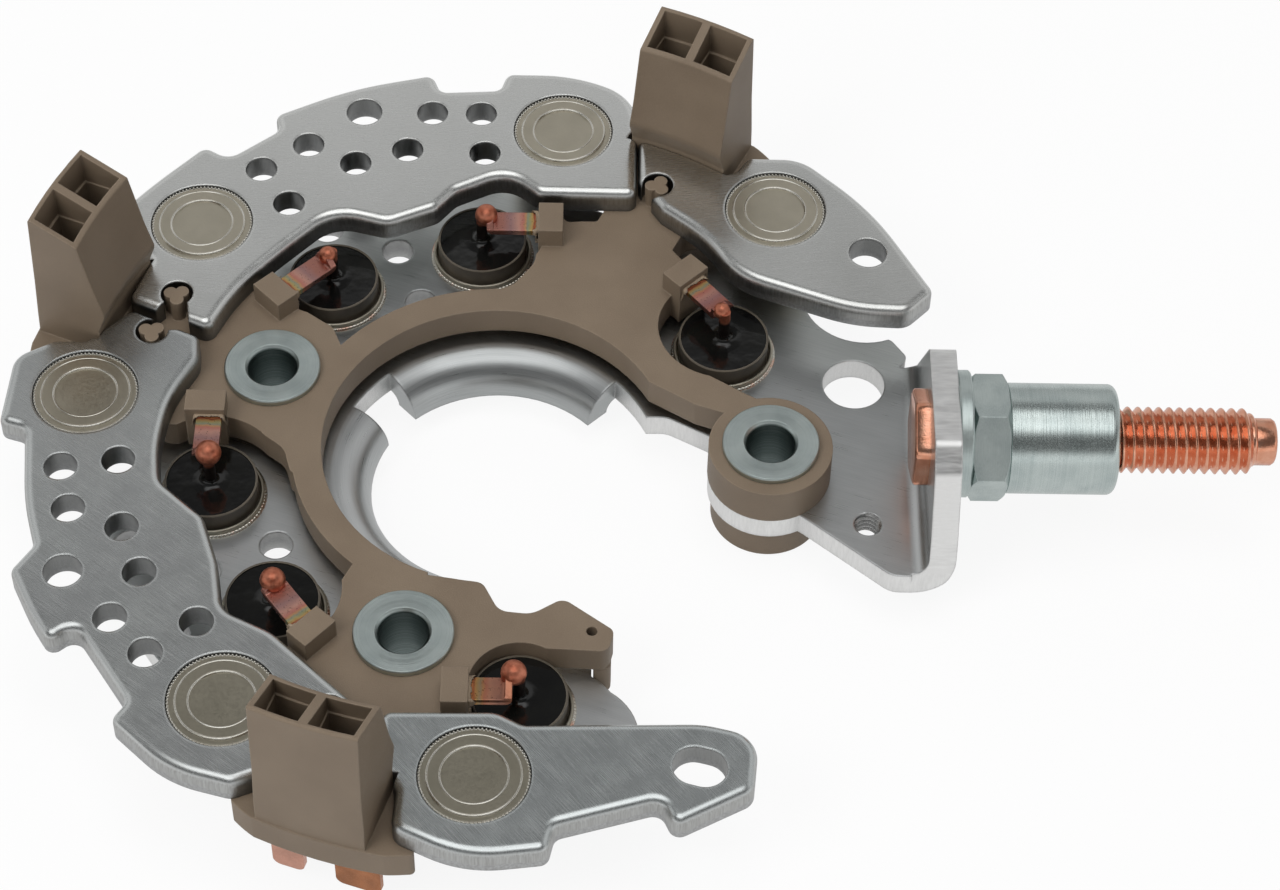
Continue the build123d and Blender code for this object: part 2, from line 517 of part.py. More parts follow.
def positive_heat_sink():
    """Lower plate of the positive side, with turned-down lips and the upturned ear of the stud."""
    sector = Face(Wire.make_polygon([
        (0, 0), (14.5, -70), (-90, -80), (-90, 80), (60, 80), (60, 55),
    ]))
    body = slab(sector, SINK_BOTTOM, SINK_TOP) & post(0, 0, 48, SINK_BOTTOM, SINK_TOP)
    right = rounded([
        (12, 15.5, 0), (16.4, 10.8, 0.3), (16.2, 8.2, 0.8), (20.7, 8.3, 3), (26, 5.4, 2),
        (30, 0, 0), (34.5, -5, 0), (37.3, -7.0, 2), (47.5, -15.5, 3), (49.8, -15.5, 0),
        (49.8, 17.0, 0), (50.9, 18.5, 1), (48.6, 21.9, 1.5), (46, 21.0, 1), (44, 26), (38, 26, 2),
        (36.5, 34, 0), (33, 40, 0), (12, 40, 0),
    ])
    body += slab(right, SINK_BOTTOM, SINK_TOP)
    tail = rounded([
        (4, -29.2, 0), (12.0, -29.2, 0.5), (12.0, -30.5, 0.3), (13.2, -31.4, 0.5), (15, -33.5, 1),
        (9, -36, 0),
    ])
    body += slab(tail, SINK_BOTTOM, SINK_TOP) + post(9.9, -39.0, 7.7, SINK_BOTTOM, SINK_TOP)
    body += post(*BUSHES[2], 7.4, SINK_BOTTOM, SINK_TOP)
    body -= post(0, 0, OPENING_RADIUS, SINK_BOTTOM, SINK_TOP)
    mouth = rounded([
        (-3, -12, 0), (-3, -20.5, 0), (-1, -23.5, 1), (3, -25.1, 3), (10, -26.2, 3),
        (13.8, -32.2, 2), (20, -36, 0), (30, -12, 0),
    ])
    body -= slab(mouth, SINK_BOTTOM, SINK_TOP)
    body -= post(45.7, 28.6, 7.7, SINK_BOTTOM, SINK_TOP)
    notches = {"t1": (38.5, 9, 22, 7.6), "t2": (38.5, 9, 22, 7.6), "t3": (43.5, 12, 24, 4.2)}
    for x, y, line, side in NEGATIVE:
        body -= post(x, y, notches[line][3], SINK_BOTTOM, SINK_TOP)
    for line, (start, near, far, lead_room) in notches.items():
        notch = rounded([(start, -near, 3), (start, near, 3), (60, far, 0), (60, -far, 0)])
        body -= Rot(0, 0, TOWER_LINES[line]) * slab(notch, SINK_BOTTOM, SINK_TOP)

    lip_level = SINK_TOP - LIP_RADIUS
    lip_inner = LIP_RADIUS - PLATE
    section = make_face(
        CenterArc((OPENING_RADIUS, lip_level), LIP_RADIUS, 90, 90)
        + CenterArc((OPENING_RADIUS, lip_level), lip_inner, 90, 90)
        + Line((OPENING_RADIUS, SINK_TOP), (OPENING_RADIUS, SINK_BOTTOM))
        + Line((OPENING_RADIUS - LIP_RADIUS, lip_level), (OPENING_RADIUS - lip_inner, lip_level))
    )
    for first, last in LIP_ARCS:
        body += Rot(0, 0, first) * turned(section, last - first)

    centre = (EAR_INNER - EAR_BEND, SINK_TOP + EAR_BEND)
    fold = make_face(
        CenterArc(centre, EAR_BEND, -90, 90)
        + CenterArc(centre, EAR_BEND + PLATE, -90, 90)
        + Line((centre[0], SINK_TOP), (centre[0], SINK_BOTTOM))
        + Polyline((EAR_INNER, centre[1]), (EAR_INNER, 10), (EAR_OUTER, 10), (EAR_OUTER, centre[1]))
    )
    ear = extrude(Plane.XZ * fold, 20, both=True)
    shape = rounded([
        (17, -20, 0), (17, -8.3, 4), (7.4, 6.6, 1.2), (-7, 6.6, 1.5), (-9.8, 4.2, 2), (-14, -4, 4),
        (-15.5, -9.5, 3), (-15.5, -20, 0),
    ])
    ear = ear & extrude(Plane.YZ.offset(40) * shape, 20, dir=(1, 0, 0))
    body += ear
    body -= Pos(EAR_INNER, 0, STUD_LEVEL) * Rot(0, 90, 0) * Cylinder(PRESS_RADIUS, 20)

    for row in POSITIVE:
        body -= post(row.x, row.y, CUP_RADIUS, SINK_BOTTOM, SINK_TOP)
    for x, y in BUSHES:
        body -= post(x, y, SPIGOT_RADIUS, SINK_BOTTOM, SINK_TOP)
    for lobe in (111.3, 205.3):
        for radius, spread in ((28.5, 0), (37.6, 0), (44.8, 9.4), (44.8, -9.4)):
            angle = math.radians(lobe + spread)
            body -= post(radius * math.cos(angle), radius * math.sin(angle), 2, SINK_BOTTOM, SINK_TOP)
    body -= post(43.95, 14.05, 3.85, SINK_BOTTOM, SINK_TOP)
    body -= post(44.9, -7.8, 1.65, SINK_BOTTOM, SINK_TOP)
    return body


def bush(x, y):
    """Flanged steel bush that takes a fixing screw."""
    outline = Polyline(
        (BUSH_BORE, INSULATOR_BOTTOM), (BUSH_RADIUS, INSULATOR_BOTTOM), (BUSH_RADIUS, CARRIER_TOP),
        (BUSH_FLANGE, CARRIER_TOP), (BUSH_FLANGE, BUSH_TOP - 0.15), (BUSH_FLANGE - 0.15, BUSH_TOP),
        (BUSH_BORE + 0.4, BUSH_TOP), (BUSH_BORE, BUSH_TOP - 0.5), close=True,
    )
    return Pos(x, y, 0) * turned(make_face(outline))


def lower_insulator(x, y):
    """Stepped insulating collar under the positive plate."""
    outline = Polyline(
        (BUSH_RADIUS, INSULATOR_BOTTOM), (COLLAR_RADIUS - 0.3, INSULATOR_BOTTOM),
        (COLLAR_RADIUS, INSULATOR_BOTTOM + 0.3), (COLLAR_RADIUS, SINK_BOTTOM),
        (SPIGOT_RADIUS, SINK_BOTTOM), (SPIGOT_RADIUS, SINK_TOP), (BUSH_RADIUS, SINK_TOP), close=True,
    )
    return Pos(x, y, 0) * turned(make_face(outline))


def along_stud(shape):
    """Lays a piece made along Z from the ear's side onto the stud's axis."""
    return Pos(0, 0, STUD_LEVEL) * Rot(0, 90, 0) * shape


def b_plus_stud():
    """Stud with a flat hexagon head behind the ear; its thread is left a plain cylinder."""
    head = extrude(RegularPolygon(10.5 / 2, 6, major_radius=False, rotation=30), STUD_HEAD)
    outline = Polyline(
        (0, EAR_INNER), (PRESS_RADIUS, EAR_INNER), (PRESS_RADIUS, EAR_OUTER),
        (PITCH_RADIUS, EAR_OUTER), (PITCH_RADIUS, SLEEVE_END), (THREAD_RADIUS, SLEEVE_END),
        (THREAD_RADIUS, THREAD_END - 0.9), (3.1, THREAD_END),
        (2.85, THREAD_END), (2.85, STUD_END - 0.8), (2.3, STUD_END), (0, STUD_END), close=True,
    )
    return along_stud(Pos(0, 0, EAR_INNER - STUD_HEAD) * head + turned(make_face(outline)))


def b_plus_washer():
    """Plain washer on the ear."""
    ring = Cylinder(15.3 / 2, WASHER) - Cylinder(WASHER_BORE, WASHER)
    ring = chamfer(ring.edges().filter_by(GeomType.CIRCLE).sort_by(SortBy.RADIUS)[-2:], 0.2)
    return along_stud(Pos(*WASHER_SHIFT, EAR_OUTER + WASHER / 2) * ring)


def b_plus_nut():
    """Hexagon nut with chamfered corners."""
    low = EAR_OUTER + WASHER
    high = low + NUT
    hexagon = Pos(0, 0, low) * extrude(RegularPolygon(13.5 / 2, 6, major_radius=False), NUT)
    hexagon = Rot(0, 0, NUT_TURN) * hexagon
    outline = Polyline(
        (PITCH_RADIUS, low), (6.9, low), (8, low + 0.7), (8, high - 0.7), (6.9, high),
        (PITCH_RADIUS, high), close=True,
    )
    return along_stud(hexagon & turned(make_face(outline)))


def b_plus_sleeve():
    """Zinc-plated spacer sleeve that the cable lug is clamped against."""
    low = EAR_OUTER + WASHER + NUT
    outline = rounded([
        (SLEEVE_BORE, low, 0), (6.65, low, 0.3), (6.65, SLEEVE_END, 1.0), (SLEEVE_BORE, SLEEVE_END, 0),
    ])
    return along_stud(turned(outline))


def main():
    pieces = {}
    leads = []
    sleeves = []
    chips = []
    for index, row in enumerate(POSITIVE):
        name = "positive_diode_" + str(index + 1)
        place, lead = positive_diode(row)
        pieces[name + "_cup"] = place * diode_cup()
        pieces[name + "_potting"] = place * diode_potting(lead)
        pieces[name + "_lead"] = place * lead
        sleeves.append(place * diode_sleeve())
        chips.append(place * diode_chip())
        leads.append(place * lead)
    for index, row in enumerate(NEGATIVE):
        name = "negative_diode_" + str(index + 1)
        place, lead = negative_diode(row)
        pieces[name + "_cup"] = place * diode_cup()
        pieces[name + "_potting"] = place * diode_potting(lead)
        pieces[name + "_lead"] = place * lead
        sleeves.append(place * diode_sleeve())
        chips.append(place * diode_chip())
        leads.append(place * lead)
    pieces["diode_sleeves"] = Compound(sleeves)
    pieces["diode_chips"] = Compound(chips)

    blanks = [phase_terminal(row) for row in POSITIVE]
    carrier = terminal_carrier(blanks)
    for index, blank in enumerate(blanks):
        terminal = blank
        for lead in leads:
            terminal -= lead
        pieces["phase_terminal_" + str(index + 1)] = terminal
    pieces["terminal_carrier"] = carrier
    pieces["positive_heat_sink"] = positive_heat_sink()
    pieces["negative_plate_rear"] = negative_plate_rear()
    pieces["negative_plate_left"] = negative_plate_left()
    pieces["negative_plate_right"] = negative_plate_right()
    pieces["negative_plate_front"] = negative_plate_front()
    for index, (x, y) in enumerate(BUSHES):
        pieces["bush_" + str(index + 1)] = bush(x, y)
        pieces["lower_insulator_" + str(index + 1)] = lower_insulator(x, y)
    pieces["b_plus_stud"] = b_plus_stud()
    pieces["b_plus_washer"] = b_plus_washer()
    pieces["b_plus_nut"] = b_plus_nut()
    pieces["b_plus_sleeve"] = b_plus_sleeve()
    for name, solid in pieces.items():
        export_step(solid, "parts/" + name + ".step")
        print(name, len(solid.solids()), round(solid.volume, 1), solid.is_valid)


main()
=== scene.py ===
import math
import random

import bmesh
import bpy
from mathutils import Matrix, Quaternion, Vector


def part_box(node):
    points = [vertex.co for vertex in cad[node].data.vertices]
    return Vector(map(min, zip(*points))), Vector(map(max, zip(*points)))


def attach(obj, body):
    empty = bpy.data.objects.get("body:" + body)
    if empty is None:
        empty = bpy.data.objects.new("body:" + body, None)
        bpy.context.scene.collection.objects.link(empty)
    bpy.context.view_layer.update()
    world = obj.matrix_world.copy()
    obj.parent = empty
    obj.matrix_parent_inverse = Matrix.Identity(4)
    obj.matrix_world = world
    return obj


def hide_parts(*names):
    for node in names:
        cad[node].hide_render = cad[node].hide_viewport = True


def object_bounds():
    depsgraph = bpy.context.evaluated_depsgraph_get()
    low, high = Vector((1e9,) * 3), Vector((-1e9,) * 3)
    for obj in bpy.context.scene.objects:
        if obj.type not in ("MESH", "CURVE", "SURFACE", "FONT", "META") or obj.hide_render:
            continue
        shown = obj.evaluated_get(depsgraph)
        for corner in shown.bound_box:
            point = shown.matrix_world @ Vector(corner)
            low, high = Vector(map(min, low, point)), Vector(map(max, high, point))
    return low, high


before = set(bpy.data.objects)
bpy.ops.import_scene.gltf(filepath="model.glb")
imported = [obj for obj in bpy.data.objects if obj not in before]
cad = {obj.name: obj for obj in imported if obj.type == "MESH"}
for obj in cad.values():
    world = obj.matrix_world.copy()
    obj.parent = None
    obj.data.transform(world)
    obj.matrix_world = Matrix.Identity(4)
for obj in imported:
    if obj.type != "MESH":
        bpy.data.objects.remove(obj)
cad_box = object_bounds()
MM = 0.001

# Heat sinks: one lower plate carries the positive diodes, four upper plates the negative ones.
# They are stamped from 3.2 mm aluminium sheet, linished across the top, and left as the die
# sheared them at the edge, where the cut shows upright streaks.


def add(tree, kind, inputs=None, **settings):
    """A shader node with its properties set, and its inputs set or linked by name or number."""
    made = tree.nodes.new("ShaderNode" + kind)
    for name, value in settings.items():
        setattr(made, name, value)
    for name, value in (inputs or {}).items():
        if isinstance(value, bpy.types.NodeSocket):
            tree.links.new(value, made.inputs[name])
        else:
            made.inputs[name].default_value = value
    return made


def math_of(tree, operation, *values):
    """The output of a Math node on the given values or sockets."""
    made = add(tree, "Math", dict(enumerate(values)), operation=operation)
    return made.outputs[0]


def blend_of(tree, factor, first, second):
    """The output of a colour mix from the first colour to the second."""
    made = add(tree, "Mix", data_type="RGBA")
    for index, value in ((0, factor), (6, first), (7, second)):
        if isinstance(value, bpy.types.NodeSocket):
            tree.links.new(value, made.inputs[index])
        elif index == 0:
            made.inputs[0].default_value = value
        else:
            made.inputs[index].default_value = (*value, 1)
    return made.outputs[2]


def spread_of(tree, value, low, high, to_low=0.0, to_high=1.0):
    """A value mapped from one range to another, and held inside it."""
    sockets = {"Value": value, 1: low, 2: high, 3: to_low, 4: to_high}
    return add(tree, "MapRange", sockets).outputs[0]


def place_of(tree):
    """The place of the shaded point in the object's own frame."""
    return add(tree, "TexCoord").outputs["Object"]


def parts_of(tree, vector):
    """The three parts of a vector, in order."""
    return add(tree, "SeparateXYZ", {0: vector}).outputs


def vector_from(tree, *parts):
    """A vector made from two or three parts."""
    return add(tree, "CombineXYZ", dict(enumerate(parts))).outputs[0]


def vector_of(tree, operation, *values):
    """The vector put out by a Vector Math node on the given values or sockets."""
    return add(tree, "VectorMath", dict(enumerate(values)), operation=operation).outputs["Vector"]


def measure_of(tree, operation, *values):
    """The number put out by a Vector Math node, which is a length or a dot product."""
    return add(tree, "VectorMath", dict(enumerate(values)), operation=operation).outputs["Value"]


def scaled_by(tree, vector, share):
    """A vector made longer or shorter."""
    return add(tree, "VectorMath", {0: vector, "Scale": share}, operation="SCALE").outputs["Vector"]


def noise_of(tree, vector, scale, detail):
    """Soft noise at a place, with as many waves to the unit as the scale says."""
    return add(tree, "TexNoise", {"Vector": vector, "Scale": scale, "Detail": detail}).outputs[0]


def effect(name, inputs, outputs):
    """A new shader node group with named inputs and outputs: its tree, inputs and outputs."""
    tree = bpy.data.node_groups.new(name, "ShaderNodeTree")
    for label, kind, value in inputs:
        socket = tree.interface.new_socket(label, in_out="INPUT", socket_type="NodeSocket" + kind)
        socket.default_value = value
    for label, kind in outputs:
        tree.interface.new_socket(label, in_out="OUTPUT", socket_type="NodeSocket" + kind)
    start = tree.nodes.new("NodeGroupInput")
    end = tree.nodes.new("NodeGroupOutput")
    return tree, start.outputs, end.inputs


def place_effect(tree, group, **values):
    """An effect placed in a material with its own values; an underscore stands for a space."""
    made = tree.nodes.new("ShaderNodeGroup")
    made.node_tree = group
    for name, value in values.items():
        socket = made.inputs[name.replace("_", " ")]
        if isinstance(value, bpy.types.NodeSocket):
            tree.links.new(value, socket)
        else:
            socket.default_value = value
    return made.outputs


def linishing_effect():
    """Fine straight lines left by an abrasive belt, at an angle round the upright axis."""
    tree, given, made = effect(
        "linishing",
        [("Angle", "Float", 0.0), ("Length", "Float", 5 * MM), ("Width", "Float", 0.075 * MM)],
        [("Lines", "Float")],
    )
    place = place_of(tree)
    turned = add(
        tree, "VectorRotate", {"Vector": place, "Angle": given["Angle"]}, rotation_type="Z_AXIS"
    ).outputs[0]
    along = math_of(tree, "DIVIDE", 1.0, given["Length"])
    across = math_of(tree, "DIVIDE", 1.0, given["Width"])
    scale = vector_from(tree, along, across, across)
    drawn = vector_of(tree, "MULTIPLY", turned, scale)
    noise = noise_of(tree, drawn, 1.0, 3.0)
    tree.links.new(spread_of(tree, noise, 0.3, 0.7), made["Lines"])
    return tree


# How often and how far the line wanders where a cut edge begins to tear, and how far past it the
# tear starts and is full
TEAR_WAVES = 700.0
TEAR_WANDER = 0.9 * MM
TEAR_START = 0.3 * MM
TEAR_FULL = 0.6 * MM
# How near another surface must be for painted shade to darken an edge
GAP_REACH = 6 * MM


def sheared_effect():
    """Where a face is the cut edge of a sheet, its streaks, the torn zone below them, and a mask for
    painted shade, from ambient occlusion, that is nought down a hole or gap and one on an open edge."""
    tree, given, made = effect(
        "sheared_edge",
        [
            ("Sheet", "Vector", (0, 0, 1)), ("Top", "Float", 0.0), ("Width", "Float", 0.17 * MM),
            ("Length", "Float", 3 * MM), ("Burnish", "Float", 2.1 * MM),
        ],
        [("Cut", "Float"), ("Streaks", "Float"), ("Torn", "Float"), ("Unshaded", "Float")],
    )
    place = place_of(tree)
    normal = add(tree, "NewGeometry").outputs["Normal"]
    facing = measure_of(tree, "DOT_PRODUCT", normal, given["Sheet"])
    cut = spread_of(tree, math_of(tree, "ABSOLUTE", facing), 0.4, 0.8, 1.0, 0.0)
    level = measure_of(tree, "DOT_PRODUCT", place, given["Sheet"])
    upright = scaled_by(tree, given["Sheet"], level)
    across = vector_of(tree, "SUBTRACT", place, upright)
    fine = math_of(tree, "DIVIDE", 1.0, given["Width"])
    coarse = math_of(tree, "DIVIDE", 1.0, given["Length"])
    narrow = scaled_by(tree, across, fine)
    drawn_out = scaled_by(tree, upright, coarse)
    drawn = vector_of(tree, "ADD", narrow, drawn_out)
    noise = noise_of(tree, drawn, 1.0, 3.0)
    depth = math_of(tree, "SUBTRACT", given["Top"], level)
    uneven = noise_of(tree, place, TEAR_WAVES, 2.0)
    border = math_of(tree, "ADD", depth, math_of(tree, "MULTIPLY", uneven, TEAR_WANDER))
    start = math_of(tree, "ADD", given["Burnish"], TEAR_START)
    end = math_of(tree, "ADD", given["Burnish"], TEAR_FULL)
    torn = add(tree, "MapRange", {"Value": border, 1: start, 2: end}).outputs[0]
    occlusion = add(tree, "AmbientOcclusion", {"Distance": GAP_REACH}, samples=4).outputs["AO"]
    tree.links.new(cut, made["Cut"])
    tree.links.new(spread_of(tree, occlusion, 0.35, 0.85), made["Unshaded"])
    tree.links.new(spread_of(tree, noise, 0.32, 0.68), made["Streaks"])
    tree.links.new(torn, made["Torn"])
    return tree


def clouding_effect():
    """Slow, uneven patches, such as handling marks or a change of tone over a surface."""
    tree, given, made = effect(
        "clouding", [("Size", "Float", 12 * MM), ("Detail", "Float", 3.0)], [("Patches", "Float")]
    )
    place = place_of(tree)
    scale = math_of(tree, "DIVIDE", 1.0, given["Size"])
    noise = noise_of(tree, place, scale, given["Detail"])
    tree.links.new(spread_of(tree, noise, 0.32, 0.68), made["Patches"])
    return tree


def edge_effect():
    """A mask of the corners between faces, and a normal that rounds them a little."""
    tree, given, made = effect(
        "edge_band", [("Radius", "Float", 0.2 * MM)], [("Corner", "Float"), ("Normal", "Vector")]
    )
    rounded = add(tree, "Bevel", {"Radius": given["Radius"]}, samples=6).outputs[0]
    normal = add(tree, "NewGeometry").outputs["Normal"]
    across = measure_of(tree, "DOT_PRODUCT", rounded, normal)
    tree.links.new(spread_of(tree, across, 0.8, 0.995, 1.0, 0.0), made["Corner"])
    tree.links.new(rounded, made["Normal"])
    return tree


linishing = linishing_effect()
sheared = sheared_effect()
clouding = clouding_effect()
edge_band = edge_effect()


def finish(name, **constants):
    """A new material: itself, its tree and its Principled shader with constant values set."""
    material = bpy.data.materials.new(name)
    material.use_nodes = True
    tree = material.node_tree
    principled = tree.nodes["Principled BSDF"]
    for label, value in constants.items():
        principled.inputs[label.replace("_", " ")].default_value = value
    return material, tree, principled


def feed(principled, label, socket):
    """Links a socket to one of the shader's inputs."""
    principled.id_data.links.new(socket, principled.inputs[label])


def bump_of(tree, height, depth, normal=None):
    """A normal bent by a height map of the given depth in metres."""
    sockets = {"Height": height, "Distance": depth, "Strength": 1.0}
    if normal is not None:
        sockets["Normal"] = normal
    return add(tree, "Bump", sockets).outputs[0]


def mix_of(tree, factor, first, second):
    """A plain number mixed from the first value to the second."""
    return add(tree, "Mix", {0: factor, 2: first, 3: second}, data_type="FLOAT").outputs[0]


def sheet_aluminium(
    name, brush_angle, tones, roughness, roll, edge_of, cut_tones, y_shade, lines_of=None
):
    """Linished aluminium sheet with sheared edges, found by the caller's edge effect. Painted shade
    darkens it along Y as the caller says, and low down, on the lips and underside of the lower plate."""
    bright, dark = tones
    material, tree, principled = finish(name, Metallic=1.0)
    cut, streaks, torn, unshaded = edge_of(tree)
    lines = place_effect(tree, linishing, Angle=math.radians(brush_angle))["Lines"]
    if lines_of is not None:
        lines = lines_of(tree, lines)
    patches = place_effect(tree, clouding, Size=16 * MM)["Patches"]
    smudges = place_effect(tree, clouding, Size=3 * MM, Detail=5.0)["Patches"]
    pits = place_effect(tree, clouding, Size=0.3 * MM, Detail=2.0)["Patches"]
    corner = place_effect(tree, edge_band, Radius=roll)
    low, high, share = y_shade
    place = place_of(tree)
    parts = parts_of(tree, place)
    # Painted shade: darker along Y, and darker low down on the lips and underside
    shade_along_y = spread_of(tree, parts[1], low, high, 0.0, share)
    shade_low_down = spread_of(tree, parts[2], SHADE_BELOW, SHADE_BELOW + 1 * MM, 0.8, 0.0)
    painted_shade = math_of(tree, "MAXIMUM", shade_along_y, shade_low_down)
    face = blend_of(tree, painted_shade, blend_of(tree, patches, dark, bright), SHADED_FACE)
    grained = blend_of(tree, math_of(tree, "MULTIPLY", lines, 0.2), face, PLATE_LINE)
    burnished = blend_of(tree, streaks, *cut_tones)
    fractured = blend_of(tree, pits, TORN_DARK, TORN_BRIGHT)
    # Cut faces down holes and gaps are painted a dark shade colour
    cut_tone = blend_of(tree, unshaded, HOLE_SHADE, blend_of(tree, torn, burnished, fractured))
    tone = blend_of(tree, cut, grained, cut_tone)
    feed(principled, "Base Color", tone)
    worn_lines = math_of(tree, "MULTIPLY", lines, 0.7)
    worn = math_of(tree, "ADD", worn_lines, math_of(tree, "MULTIPLY", smudges, 0.3))
    face_rough = spread_of(tree, worn, 0, 1, roughness - 0.05, roughness + 0.07)
    cut_rough = mix_of(tree, torn, spread_of(tree, streaks, 0, 1, 0.34, 0.48), 0.5)
    feed(principled, "Roughness", mix_of(tree, cut, face_rough, cut_rough))
    cut_height = mix_of(
        tree, torn, math_of(tree, "MULTIPLY", streaks, 0.12), math_of(tree, "MULTIPLY", pits, 0.7)
    )
    height = mix_of(tree, cut, math_of(tree, "MULTIPLY", lines, 0.12), cut_height)
    feed(principled, "Normal", bump_of(tree, height, 0.01 * MM, corner["Normal"]))
    return material


def dress(material, *names):
    """Gives a material to CAD nodes."""
    for name in names:
        cad[name].material_slots[0].material = material


PLATE_LINE = (0.92, 0.92, 0.92)
PLATE_CUT = ((0.40, 0.40, 0.39), (0.58, 0.59, 0.58))
TORN_DARK = (0.42, 0.42, 0.42)
TORN_BRIGHT = (0.56, 0.57, 0.57)
# Painted shade for cut faces down holes and gaps
HOLE_SHADE = (0.15, 0.155, 0.155)
# Painted shade: the colour that the sheet darkens toward, and the level below which it does
SHADED_FACE = (0.36, 0.38, 0.38)
SHADE_BELOW = -10 * MM
# Each plate's brushing angle, bright and dark tone, and where along Y and how far painted shade darkens
# it
PLATE_LOOKS = {
    "rear": (4, ((0.84, 0.85, 0.83), (0.78, 0.79, 0.77)), (-60 * MM, 60 * MM, 0.0)),
    "left": (38, ((0.70, 0.73, 0.72), (0.62, 0.64, 0.64)), (0, 26 * MM, 0.75)),
    "right": (-8, ((0.77, 0.78, 0.76), (0.68, 0.69, 0.67)), (-60 * MM, 60 * MM, 0.0)),
    "front": (50, ((0.66, 0.70, 0.70), (0.60, 0.64, 0.64)), (-60 * MM, 60 * MM, 0.0)),
}


def upright_edge(tree):
    """Cut edges of a plate that lies flat with its top face at zero."""
    made = place_effect(tree, sheared)
    return made["Cut"], made["Streaks"], made["Torn"], made["Unshaded"]


for side, (brush_angle, tones, y_shade) in PLATE_LOOKS.items():
    plate = "negative_plate_" + side
    plate_finish = sheet_aluminium(
        plate + "_finish", brush_angle, tones, 0.25, 0.45 * MM, upright_edge, PLATE_CUT, y_shade
    )
    dress(plate_finish, plate)

SINK_TOP = -8.3 * MM
EAR_INNER = 51.8 * MM
EAR_FOLD = 50.3 * MM
OPENING_RADIUS = 20.0 * MM
RING_WIDTH = 0.12 * MM


def radius_of(tree, parts):
    """How far a point is from the upright axis of the rotor opening."""
    flat = vector_from(tree, parts[0], parts[1])
    return measure_of(tree, "LENGTH", flat)


def folded_edge(tree):
    """Cut edges of the lower plate: flat, then upright past the ear's fold, and none on the lips."""
    place = place_of(tree)
    parts = parts_of(tree, place)
    past_fold = spread_of(tree, parts[0], EAR_FOLD, EAR_FOLD + 0.4 * MM)
    above = spread_of(tree, parts[2], SINK_TOP + 0.2 * MM, SINK_TOP + 0.9 * MM)
    on_ear = math_of(tree, "MULTIPLY", past_fold, above)
    backward = math_of(tree, "MULTIPLY", on_ear, -1.0)
    upward = math_of(tree, "SUBTRACT", 1.0, on_ear)
    sheet = vector_from(tree, backward, 0.0, upward)
    top = mix_of(tree, on_ear, SINK_TOP, -EAR_INNER)
    made = place_effect(
        tree, sheared, Sheet=sheet, Top=top, Width=0.34 * MM, Length=2 * MM, Burnish=4 * MM
    )
    radius = radius_of(tree, parts)
    off_lip = spread_of(tree, radius, OPENING_RADIUS - 0.15 * MM, OPENING_RADIUS - 0.05 * MM)
    return math_of(tree, "MULTIPLY", made["Cut"], off_lip), made["Streaks"], made["Torn"], made["Unshaded"]


def ringed_lips(tree, lines):
    """The belt's lines, or round the opening the marks of the tool that drew the lips."""
    place = place_of(tree)
    parts = parts_of(tree, place)
    radius = radius_of(tree, parts)
    turn = math_of(tree, "MULTIPLY", math_of(tree, "ARCTAN2", parts[1], parts[0]), 3.0)
    outward = math_of(tree, "DIVIDE", radius, RING_WIDTH)
    upward = math_of(tree, "DIVIDE", parts[2], RING_WIDTH)
    profile = vector_from(tree, outward, upward, turn)
    noise = noise_of(tree, profile, 1.0, 3.0)
    rings = spread_of(tree, noise, 0.3, 0.7)
    off_lip = spread_of(tree, radius, OPENING_RADIUS - 0.5 * MM, OPENING_RADIUS + 0.8 * MM)
    return mix_of(tree, off_lip, rings, lines)


SINK_TONES = ((0.74, 0.75, 0.75), (0.58, 0.60, 0.60))
SINK_CUT = ((0.84, 0.84, 0.83), (0.95, 0.95, 0.94))
# The sink takes painted shade toward the back and under its lips
sink_finish = sheet_aluminium(
    "heat_sink_finish", 20, SINK_TONES, 0.31, 0.4 * MM, folded_edge, SINK_CUT,
    (-12 * MM, 12 * MM, 0.6), ringed_lips,
)
dress(sink_finish, "positive_heat_sink")

# Terminal carrier: web, hubs, three two-cell towers, strap blocks and posts in one piece.
# It is moulded in warm taupe, glass-filled plastic, with satin faces and sharper edges, paler by a
# painted highlight.
# The three collars under the lower plate are the same material.

TAUPE = (0.168, 0.125, 0.086)
TAUPE_LIGHT = (0.200, 0.152, 0.106)
# Pale tone for the grain's flecks and for the painted highlight on corners
TAUPE_FLECK_AND_HIGHLIGHT = (0.34, 0.27, 0.20)


def moulded_plastic(name, deep, light):
    """Satin moulding with a fine grain, slow changes of tone and a painted highlight on its corners."""
    material, tree, principled = finish(name, Specular_IOR_Level=0.4)
    patches = place_effect(tree, clouding, Size=9 * MM)["Patches"]
    grain = place_effect(tree, clouding, Size=0.16 * MM, Detail=2.0)["Patches"]
    corner = place_effect(tree, edge_band, Radius=0.32 * MM)
    tone = blend_of(tree, patches, deep, light)
    speckled = blend_of(tree, math_of(tree, "MULTIPLY", grain, 0.12), tone, TAUPE_FLECK_AND_HIGHLIGHT)
    # Painted highlight along the corners
    edge_highlight = math_of(tree, "MULTIPLY", corner["Corner"], 0.55)
    feed(principled, "Base Color", blend_of(tree, edge_highlight, speckled, TAUPE_FLECK_AND_HIGHLIGHT))
    feed(principled, "Roughness", spread_of(tree, grain, 0, 1, 0.44, 0.58))
    feed(principled, "Normal", bump_of(tree, grain, 0.012 * MM, corner["Normal"]))
    return material


taupe_finish = moulded_plastic("moulded_taupe", TAUPE, TAUPE_LIGHT)
dress(taupe_finish, "terminal_carrier", "lower_insulator_1", "lower_insulator_2", "lower_insulator_3")

# Phase terminals: 0.8 mm copper strip, folded up at the weld and down again as stator tabs.
# Each weld leaves a heat tint across the strap, in bands of straw, green and red by the block.


def ramp_of(tree, value, bands):
    """The colour of a ramp at a value, from bands of (position, colour)."""
    ramp = add(tree, "ValToRGB", {"Fac": value})
    stops = ramp.color_ramp.elements
    while len(stops) < len(bands):
        stops.new(0.5)
    for stop, (position, colour) in zip(stops, bands):
        stop.position = position
        stop.color = (*colour, 1)
    return ramp.outputs[0]


